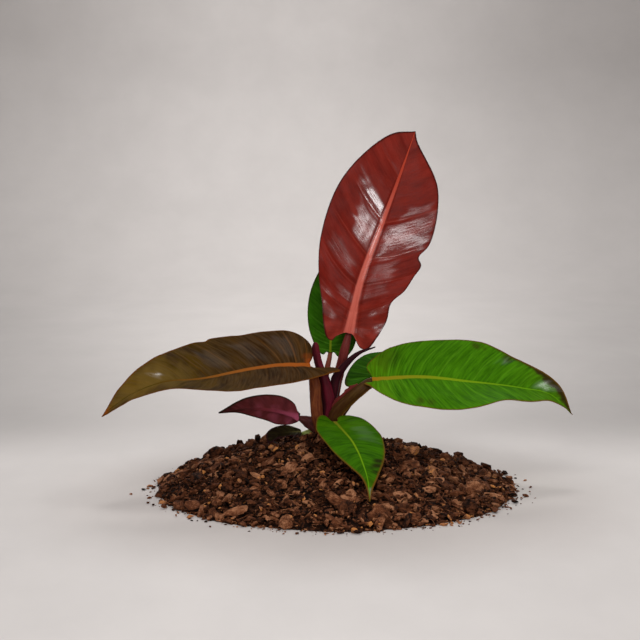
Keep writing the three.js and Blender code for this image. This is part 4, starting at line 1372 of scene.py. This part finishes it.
def broken_bark(name, settings, fine=False):
    """Composted pine bark: broken flakes, dark and damp outside and tan where the inner bark
    shows, with lengthwise fibres that catch the light. Fine bits have a few bright grains."""
    material, tree, shader = new_material(name, 0.85, 0.08)
    local = add_node(tree, "ShaderNodeAttribute", attribute_name="local").outputs["Vector"]
    tone = add_node(tree, "ShaderNodeAttribute", attribute_name="tone").outputs["Fac"]
    stretched = add_node(tree, "ShaderNodeMapping", {
        "Vector": local, "Scale": (0.25, 1, 1),
    }).outputs["Vector"]
    fibres = add_node(tree, "ShaderNodeTexNoise", {
        "Vector": stretched, "Scale": 1 / BARK_FIBRE, "Detail": 5, "Roughness": 0.65,
    }).outputs["Fac"]
    patches = add_node(tree, "ShaderNodeTexNoise", {
        "Vector": local, "Scale": 1 / BARK_PATCH, "Detail": 3,
    }).outputs["Fac"]
    for pattern, strength in ((patches, 0.26), (fibres, 0.28)):
        shift = add_node(tree, "ShaderNodeMapRange", {
            "Value": pattern, "From Min": 0.3, "From Max": 0.7, "To Min": -strength,
            "To Max": strength,
        }).outputs["Result"]
        tone = add_node(tree, "ShaderNodeMath", {0: tone, 1: shift},
                        operation="ADD").outputs["Value"]
    stops = [(0, settings.dark), (0.5, settings.brown), (0.95, settings.tan)]
    if fine:
        stops = [(0, settings.dark), (0.55, settings.brown), (0.9, settings.tan),
                 (0.97, linear(BRIGHT_GRAIN))]
    colour = add_node(tree, "ShaderNodeValToRGB", {"Fac": tone}, stops).outputs["Color"]
    tree.links.new(colour, shader.inputs["Base Color"])
    bump = add_node(tree, "ShaderNodeBump", {
        "Strength": 0.9, "Distance": 0.8 * MM, "Height": fibres,
    }).outputs["Normal"]
    tree.links.new(bump, shader.inputs["Normal"])
    return material


# Painted canvas of the studio: millimetres between the clouds that the brush left, and their
# tone. Its middle is a painted pool of light, left where painted shade darkens the rest, in a fan
# that opens from a point in front of the plant: how far in front in metres, the nearest that
# counts, and how far aside each metre away its middle line strays. The painted shade and the
# painted shadow round the mound have a colour each, and the shadow a middle.
CANVAS_CLOUD = 77
CANVAS_CLOUD_TONE = 0.95
PAINTED_GLOW_DISTANCE = 1.3
PAINTED_GLOW_NEAREST = 0.9
PAINTED_GLOW_STRAY = 0.023
PAINTED_SHADE_COLOUR = "4a4644"
PAINTED_SHADOW_COLOUR = "8a7c74"
PAINTED_SHADOW_MIDDLE = (0, -0.03, 0)

# How the canvas is painted with shade: what each painted shade follows, the two values in metres
# between which it changes, and its strength at both. Slant is how far aside for each metre away
# in the fan.
CANVAS_PAINTED_SHADES = {
    "ends": ("slant", 0.02, 0.22, 0.15, 0.5),
    "behind": ("y", 0.08, 0.3, 0.3, 1),
    "on_wall": ("y", 0.8, 1.9, 1, 0.5),
    "in_sight": ("aside", 0.6, 1.2, 1, 0),
    "painted_shadow": ("from_mound", 0.12, 0.26, 0.3, 0),
}

# The sweep in metres: radii of the flat floor's rings, radius where it starts to bend up, radius
# of the bend, and height of the wall
SWEEP_RINGS = (0.4, 1)
SWEEP_FOOT = 1.3
SWEEP_BEND = 0.9
SWEEP_TOP = 1.5
SWEEP_STEPS = 16
SWEEP_SECTORS = 96

# Soft lights: place and size in metres, the power in the settings, the share of it, and the aim
PLANT_MIDDLE = (0, 0, 0.1)
LIGHTS = {
    "upper_softbox": ((-0.22, -1.17, 1.07), (1, 0.24), "key_power", 1, PLANT_MIDDLE),
    "rear_softbox": ((0.05, 1.1, 1.05), (0.8, 0.8), "rear_power", 1, (0, 0.3, 0)),
    "top_softbox": ((0, 0.1, 1.6), (0.4, 0.4), "key_power", 0.5, PLANT_MIDDLE),
    "right_softbox": ((0.86, -1.74, 0.68), (0.4, 0.4), "fill_power", 1, PLANT_MIDDLE),
    "left_softbox": ((-1.1, -1.6, 0.76), (0.22, 0.22), "fill_power", 0.4, PLANT_MIDDLE),
    "tip_softbox": ((0.61, -0.17, 1.17), (0.2, 0.2), "fill_power", 0.12, PLANT_MIDDLE),
    "wall_light": ((-0.07, 1.62, 0.7), (0.3, 0.3), "wall_power", 1, (-0.07, 2.05, 0.27)),
}
AIR_COLOUR = "ebe8e8"
AIR_STRENGTH = 0.38

# The camera: place in metres, degrees that it looks down, focal length and sensor width
CAMERA_PLACE = (-0.01275, -1.29, 0.293)
CAMERA_DIP = 7.25
CAMERA_LENS = 97.5
CAMERA_SENSOR = 36


def painted_canvas(backdrop):
    """Studio canvas: matt, with faint clouds left by the brush. Painted shade darkens it at the
    back and most towards both ends, so that the middle looks lit as a painted pool of light, and a
    painted shadow lies round the mound."""
    material, tree, shader = new_material("painted_canvas", 0.9, 0.1)
    place = add_node(tree, "ShaderNodeTexCoord").outputs["Object"]
    drawn = add_node(tree, "ShaderNodeMapping", {
        "Vector": place, "Scale": (1, 0.6, 1),
    }).outputs["Vector"]
    clouds = add_node(tree, "ShaderNodeTexNoise", {
        "Vector": drawn, "Scale": per_size(CANVAS_CLOUD), "Detail": 7, "Roughness": 0.6,
    }).outputs["Fac"]
    dusk = [channel * CANVAS_CLOUD_TONE for channel in backdrop[:3]] + [1]
    paint = add_node(tree, "ShaderNodeValToRGB", {"Fac": clouds}, [
        (0.35, dusk), (0.65, backdrop),
    ]).outputs["Color"]

    split = add_node(tree, "ShaderNodeSeparateXYZ", {"Vector": place}).outputs
    measures = {"x": split["X"], "y": split["Y"]}
    steps = (
        ("away", "ADD", "y", PAINTED_GLOW_DISTANCE),
        ("away", "MAXIMUM", "away", PAINTED_GLOW_NEAREST),
        ("slant", "DIVIDE", "x", "away"),
        ("slant", "ADD", "slant", PAINTED_GLOW_STRAY),
        ("slant", "ABSOLUTE", "slant", 0),
        ("aside", "ABSOLUTE", "x", 0),
    )
    for result, operation, first, second in steps:
        measures[result] = add_node(tree, "ShaderNodeMath", {
            0: measures[first], 1: measures.get(second, second),
        }, operation=operation).outputs["Value"]
    measures["from_mound"] = add_node(tree, "ShaderNodeVectorMath", {
        0: place, 1: PAINTED_SHADOW_MIDDLE,
    }, operation="DISTANCE").outputs["Value"]
    shades = {}
    for name, (measure, first, last, first_strength, last_strength) in CANVAS_PAINTED_SHADES.items():
        shades[name] = add_node(tree, "ShaderNodeMapRange", {
            "Value": measures[measure], "From Min": first, "From Max": last,
            "To Min": first_strength, "To Max": last_strength,
        }, interpolation_type="SMOOTHSTEP").outputs["Result"]
    # Painted shade, strongest at the back and towards the ends, so that the middle reads as a pool
    # of light; then the painted shadow round the mound
    darker = shades["ends"]
    for name in ("behind", "on_wall", "in_sight"):
        darker = add_node(tree, "ShaderNodeMath", {0: darker, 1: shades[name]},
                          operation="MULTIPLY").outputs["Value"]
    for share, over in ((darker, PAINTED_SHADE_COLOUR), (shades["painted_shadow"], PAINTED_SHADOW_COLOUR)):
        paint = add_node(tree, "ShaderNodeMix", {
            MIX_SHARE: share, MIX_FIRST: paint, MIX_SECOND: linear(over),
        }, data_type="RGBA").outputs[MIX_RESULT]
    tree.links.new(paint, shader.inputs["Base Color"])
    return material


def hang_sweep(material):
    """A floor that curves up into a wall all round, so that every side has a backdrop."""
    profile = [(radius, 0) for radius in SWEEP_RINGS]
    for turn in np.linspace(0, np.pi / 2, SWEEP_STEPS):
        out = SWEEP_FOOT + SWEEP_BEND * math.sin(turn)
        profile.append((out, SWEEP_BEND - SWEEP_BEND * math.cos(turn)))
    profile.append((SWEEP_FOOT + SWEEP_BEND, SWEEP_TOP))
    rings = []
    for out, up in profile:
        for around in np.linspace(0, 2 * np.pi, SWEEP_SECTORS, endpoint=False):
            rings.append([out * math.cos(around), out * math.sin(around), up])
    faces = grid_faces(len(profile), SWEEP_SECTORS, closed=True, flipped=True)
    faces.append(list(range(SWEEP_SECTORS)))
    mesh = bpy.data.meshes.new("studio_sweep")
    mesh.from_pydata(rings, [], faces)
    mesh.shade_smooth()
    mesh.materials.append(material)
    sweep = bpy.data.objects.new("studio_sweep", mesh)
    bpy.context.scene.collection.objects.link(sweep)


def hang_lights(settings):
    for name, (place, size, power, share, target) in LIGHTS.items():
        lamp = bpy.data.lights.new(name, "AREA")
        lamp.shape = "RECTANGLE"
        lamp.size, lamp.size_y = size
        lamp.energy = getattr(settings, power) * share
        light = bpy.data.objects.new(name, lamp)
        light.location = place
        aim = Vector(target) - light.location
        light.rotation_euler = aim.to_track_quat("-Z", "Y").to_euler()
        bpy.context.scene.collection.objects.link(light)


def fill_air(scene):
    """Faint light from all round, as a bright room gives, and colours shown as they are."""
    world = bpy.data.worlds.new("studio_air")
    world.use_nodes = True
    background = world.node_tree.nodes["Background"]
    background.inputs["Color"].default_value = linear(AIR_COLOUR)
    background.inputs["Strength"].default_value = AIR_STRENGTH
    scene.world = world
    scene.view_settings.view_transform = "Standard"


def place_camera(scene):
    lens = bpy.data.cameras.new("camera")
    lens.sensor_width = CAMERA_SENSOR
    lens.lens = CAMERA_LENS
    camera = bpy.data.objects.new("camera", lens)
    camera.location = CAMERA_PLACE
    camera.rotation_euler = (math.radians(90 - CAMERA_DIP), 0, 0)
    scene.collection.objects.link(camera)
    scene.camera = camera


class PlantOperator(bpy.types.Operator):
    """Shared options of the operators that build the plant."""

    bl_options = {"REGISTER", "UNDO"}


class PHILODENDRON_OT_red_leaf(PlantOperator):
    """Grow the tall red leaf"""

    bl_idname = "philodendron.red_leaf"
    bl_label = "Red Leaf"

    def execute(self, context):
        settings = context.scene.philodendron_leaves
        skin = waxy_leaf("red", settings.red_blade, settings.red_midrib)
        grow_leaf("red", skin, settings)
        return {"FINISHED"}


class PHILODENDRON_OT_bronze_leaf(PlantOperator):
    """Grow the olive bronze leaf on the left"""

    bl_idname = "philodendron.bronze_leaf"
    bl_label = "Bronze Leaf"

    def execute(self, context):
        settings = context.scene.philodendron_leaves
        skin = waxy_leaf("bronze", settings.bronze_blade, settings.bronze_midrib)
        grow_leaf("bronze", skin, settings)
        return {"FINISHED"}


class PHILODENDRON_OT_green_leaves(PlantOperator):
    """Grow the green leaves on the right, in front and behind"""

    bl_idname = "philodendron.green_leaves"
    bl_label = "Green Leaves"

    def execute(self, context):
        settings = context.scene.philodendron_leaves
        fresh = waxy_leaf("green", settings.green_blade, settings.green_midrib)
        deep = waxy_leaf("deep_green")
        shaded = waxy_leaf("dark_green")
        for name, skin in (("green", fresh), ("front", deep), ("back", shaded), ("rear", shaded)):
            grow_leaf(name, skin, settings)
        return {"FINISHED"}


class PHILODENDRON_OT_small_leaves(PlantOperator):
    """Grow the small purple leaf and the withered one that lies on the soil"""

    bl_idname = "philodendron.small_leaves"
    bl_label = "Small Leaves"

    def execute(self, context):
        settings = context.scene.philodendron_leaves
        young = waxy_leaf("purple", settings.purple_blade, settings.purple_midrib)
        grow_leaf("purple", young, settings)
        grow_leaf("low", waxy_leaf("withered"), settings)
        return {"FINISHED"}


class PHILODENDRON_OT_stems(PlantOperator):
    """Grow the leaf stalks, the sheath and the rolled new leaf"""

    bl_idname = "philodendron.stems"
    bl_label = "Stalks and New Shoot"

    def execute(self, context):
        settings = context.scene.philodendron_stems
        tops = {
            "maroon": settings.maroon,
            "sheath": settings.magenta,
            "shoot": settings.shoot,
            "bronze": settings.bronze,
        }
        skins = {}
        for name, stem in STEMS.items():
            finish = stem["finish"]
            if finish not in skins:
                top = tops.get(finish) or linear(STEM_LOOKS[finish]["top"])
                skins[finish] = stalk_skin(finish, top)
            grow_stem(name, skins[finish], settings.ridge)
        grow_wing("petiole_green", skins["maroon"])
        return {"FINISHED"}


class PHILODENDRON_OT_crown(PlantOperator):
    """Grow the short stem in the soil with its roots"""

    bl_idname = "philodendron.crown"
    bl_label = "Crown and Roots"

    def execute(self, context):
        foot = np.array(CROWN_FOOT, float)
        top = np.array(CROWN_TOP, float)

        def ringed(share, angle):
            return 1 + 0.04 * np.sin(share * 60) + 0.03 * np.sin(angle * 7)

        def knobbly(share, angle):
            return 1 + 0.12 * uneven(share * 40 + 9, np.cos(angle) * 2 + 9, 3, 2)

        rods = [rod_grid([foot, (foot + top) / 2, top], CROWN_RADII, CROWN_RADII, (1, 0, 0),
                         CROWN_STEPS, CROWN_SIDES, ringed)]
        for root in range(ROOT_COUNT):
            angle = 2 * np.pi * (root + ROOT_TURN) / ROOT_COUNT
            outward = np.array([math.cos(angle), math.sin(angle), 0])
            line = []
            for share in (0, 0.3, 0.65, 1):
                drop = [0, 0, ROOT_RISE - ROOT_DEPTH * share**2]
                line.append(foot + outward * ROOT_REACH * share + drop)
            rods.append(rod_grid(line, ROOT_RADII, ROOT_RADII, (0, 0, 1), ROOT_STEPS,
                                 ROOT_SIDES, knobbly))
        points, faces, along, flow, start = [], [], [], [], 0
        for rings, share, angle in rods:
            points.append(rings.reshape(-1, 3))
            faces += rod_faces(*share.shape, start)
            along.append(share.ravel())
            flow.append(lengthwise(share, angle))
            start += share.size
        along = np.concatenate(along)
        attributes = {"along": along, "groove": along * 0, "flow": np.concatenate(flow)}
        skin = stalk_skin("crown", linear(STEM_LOOKS["crown"]["top"]))
        add_piece("crown_with_roots", np.concatenate(points), faces, skin,
                  attributes, ["crown_and_roots"])
        return {"FINISHED"}


class PHILODENDRON_OT_mound(PlantOperator):
    """Heap up the fine part of the potting mix"""

    bl_idname = "philodendron.mound"
    bl_label = "Mound"

    def execute(self, context):
        settings = context.scene.philodendron_soil
        share = np.linspace(0, 1, MOUND_RINGS + 1)[1:]
        around = np.linspace(0, 2 * np.pi, MOUND_SECTORS, endpoint=False)
        share, around = np.meshgrid(share, around, indexing="ij")
        radius = MOUND_RADIUS - FINES_RIM + FINES_RIM * rim_raggedness(around)
        x = share * radius * np.cos(around)
        y = share * radius * np.sin(around)
        rough = sum(
            rise * uneven(x + 400, y + 400, size, seed) for rise, size, seed in FINES_ROUGHNESS
        )
        height = np.maximum(mound_height(x, y) - FINES_SINK + rough, FINES_LEAST)
        height[-1] = 0
        top = np.stack([x, y, height], -1).reshape(-1, 3)
        count = len(top)
        points = np.vstack([top, [[0, 0, mound_height(0, 0)], [0, 0, 0]]])
        faces = grid_faces(MOUND_RINGS, MOUND_SECTORS, closed=True, flipped=True)
        last = count - MOUND_SECTORS
        for sector in range(MOUND_SECTORS):
            after = (sector + 1) % MOUND_SECTORS
            faces.append([count, sector, after])
            faces.append([count + 1, last + after, last + sector])
        # The fines are painted almost black: partly their own dark colour, partly painted shade in
        # the gaps between the chips
        tone = 0.05 + 0.1 * uneven(points[:, 0] + 400, points[:, 1] + 400, 6, 6)
        soil = broken_bark("bark_fines_with_painted_shade", settings, fine=True)
        add_piece("bark_fines_heap", points, faces, soil,
                  {"local": points, "tone": tone}, ["soil_mound"], sharp=180)
        return {"FINISHED"}


class PHILODENDRON_OT_bark(PlantOperator):
    """Lay the chips, pieces and crumbs of bark on the mound"""

    bl_idname = "philodendron.bark"
    bl_label = "Bark Chips and Crumbs"

    def execute(self, context):
        settings = context.scene.philodendron_soil
        flakes = broken_bark("broken_pine_bark", settings)
        crumbs = broken_bark("bark_crumbs", settings, fine=True)
        notable = {"large": NOTABLE_CHIPS, "clods": NOTABLE_CLODS}
        counts = {
            "large": settings.large_count,
            "medium": settings.medium_count,
            "fine": settings.fine_count,
            "clods": settings.clod_count,
        }
        for number, (name, kind) in enumerate(BARK_KINDS.items()):
            rng = np.random.default_rng(settings.seed + number)
            x, y = scatter(rng, counts[name])
            length = lerp(*kind["length"], rng.uniform(0, 1, len(x)) ** SHORTNESS)
            tone = kind["tone"] + rng.normal(0, TONE_SPREAD, len(x))
            dry = rng.uniform(size=len(x)) < DRY_SHARE
            tone = np.where(dry, rng.uniform(DRY_TONE, kind["driest"], len(x)), tone)
            # Painted shade: bark near the crown is darker, where the leaves shade it
            crown_shade = CROWN_SHADE_DARKENING * hump(from_crown(x, y) / CROWN_SHADE_RADIUS)
            tone = np.clip(tone - crown_shade, kind["darkest"], 1)
            if name in notable:
                chips = np.array(notable[name])
                x, y, length, tone = (
                    np.r_[own, chips[:, i]] for i, own in enumerate((x, y, length, tone))
                )
            points, triangles, attributes = lay_bits(rng, kind, x, y, length, tone)
            add_piece(
                f"{name}_bark_pieces", points, triangles, crumbs if kind["crumbly"] else flakes,
                attributes, sharp=18,
            )
        return {"FINISHED"}


class PHILODENDRON_OT_fibres(PlantOperator):
    """Lay loose fibres and splinters over the mound"""

    bl_idname = "philodendron.fibres"
    bl_label = "Fibres"

    def execute(self, context):
        settings = context.scene.philodendron_soil
        rng = np.random.default_rng(settings.seed + 40)
        x, y = scatter(rng, settings.fibre_count)
        facing = mound_facing(x, y)
        points, faces, tones, start = [], [], [], 0
        for fibre in range(len(x)):
            length = rng.uniform(*FIBRE_LENGTH)
            radius = rng.uniform(*FIBRE_RADIUS)
            yaw = rng.uniform(0, 2 * np.pi)
            level = unit(np.cross(facing[fibre], [math.cos(yaw), math.sin(yaw), 0]))
            height = mound_height(x[fibre], y[fibre]) + FIBRE_LIFT
            middle = np.array([x[fibre], y[fibre], height])
            bend = rng.uniform(-FIBRE_BEND, FIBRE_BEND) * length
            aside = facing[fibre] * bend * 0.5 + np.cross(level, facing[fibre]) * bend
            line = [middle - level * length / 2, middle + aside, middle + level * length / 2]
            rings, share, _ = rod_grid(
                line, (radius, radius, radius * 0.4),
                (radius * 0.7, radius * 0.7, radius * 0.3), facing[fibre] + 0.01,
                FIBRE_STEPS, FIBRE_SIDES,
            )
            points.append(rings.reshape(-1, 3))
            faces += rod_faces(FIBRE_STEPS, FIBRE_SIDES, start)
            tones.append(np.full(share.size, rng.uniform(*FIBRE_TONES)))
            start += share.size
        points = np.concatenate(points)
        points[:, 2] = np.maximum(points[:, 2], 0.1)
        add_piece("bark_fibres", points, faces, broken_bark("bark_fibre", settings),
                  {"local": points, "tone": np.concatenate(tones)}, sharp=50)
        return {"FINISHED"}


class PHILODENDRON_OT_crumbs(PlantOperator):
    """Drop stray crumbs on the floor beside the mound"""

    bl_idname = "philodendron.crumbs"
    bl_label = "Stray Crumbs"

    def execute(self, context):
        settings = context.scene.philodendron_soil
        rng = np.random.default_rng(settings.seed + 60)
        around = rng.uniform(0, 2 * np.pi, settings.stray_count)
        out = MOUND_RADIUS - STRAY_START + rng.exponential(STRAY_SPREAD, settings.stray_count)
        inside = out < STRAY_LIMIT
        around, out = around[inside], out[inside]
        places = np.array(STRAY_CRUMBS, float)
        x = np.r_[out * np.cos(around), places[:, 0]]
        y = np.r_[out * np.sin(around), places[:, 1]]
        length = np.r_[STRAY_LEAST + rng.exponential(STRAY_LONGER, len(out)), places[:, 2]]
        tone = np.clip(rng.normal(STRAY_TONE, STRAY_TONE_SPREAD, len(x)), 0.05, 1)
        kind = {**BARK_KINDS["fine"], "tilt": 0.1}
        points, triangles, attributes = lay_bits(rng, kind, x, y, length, tone, floor=True)
        stray = broken_bark("stray_bark", settings, fine=True)
        add_piece("stray_bark_crumbs", points, triangles, stray, attributes, sharp=35)
        return {"FINISHED"}


class PHILODENDRON_OT_stage(PlantOperator):
    """Set up the floor, the backdrop, the lights and the camera"""

    bl_idname = "philodendron.stage"
    bl_label = "Studio"

    def execute(self, context):
        settings = context.scene.philodendron_stage
        hang_sweep(painted_canvas(settings.backdrop))
        hang_lights(settings)
        fill_air(context.scene)
        place_camera(context.scene)
        return {"FINISHED"}


OPERATORS = (
    PHILODENDRON_OT_stage,
    PHILODENDRON_OT_red_leaf,
    PHILODENDRON_OT_bronze_leaf,
    PHILODENDRON_OT_green_leaves,
    PHILODENDRON_OT_small_leaves,
    PHILODENDRON_OT_stems,
    PHILODENDRON_OT_crown,
    PHILODENDRON_OT_mound,
    PHILODENDRON_OT_bark,
    PHILODENDRON_OT_fibres,
    PHILODENDRON_OT_crumbs,
)

SETTINGS = {
    "philodendron_leaves": LeafSettings,
    "philodendron_stems": StemSettings,
    "philodendron_soil": SoilSettings,
    "philodendron_stage": StageSettings,
}


class PHILODENDRON_PT_builder(bpy.types.Panel):
    """Lists the plant's settings and the steps that build it"""

    bl_idname = "PHILODENDRON_PT_builder"
    bl_label = "Philodendron"
    bl_space_type = "VIEW_3D"
    bl_region_type = "UI"
    bl_category = "Philodendron"

    def draw(self, context):
        for name in SETTINGS:
            box = self.layout.box()
            group = getattr(context.scene, name)
            for setting in group.bl_rna.properties:
                if setting.identifier not in ("rna_type", "name"):
                    box.prop(group, setting.identifier)
        for operator in OPERATORS:
            self.layout.operator(operator.bl_idname)


def register():
    for group in SETTINGS.values():
        bpy.utils.register_class(group)
    for operator in OPERATORS:
        bpy.utils.register_class(operator)
    bpy.utils.register_class(PHILODENDRON_PT_builder)
    for name, group in SETTINGS.items():
        setattr(bpy.types.Scene, name, PointerProperty(type=group))


def unregister():
    for name in SETTINGS:
        delattr(bpy.types.Scene, name)
    bpy.utils.unregister_class(PHILODENDRON_PT_builder)
    for operator in reversed(OPERATORS):
        bpy.utils.unregister_class(operator)
    for group in reversed(SETTINGS.values()):
        bpy.utils.unregister_class(group)


def main():
    """Builds the whole scene."""
    register()
    for operator in OPERATORS:
        group, step = operator.bl_idname.split(".")
        getattr(getattr(bpy.ops, group), step)()


if __name__ == "__main__":
    main()
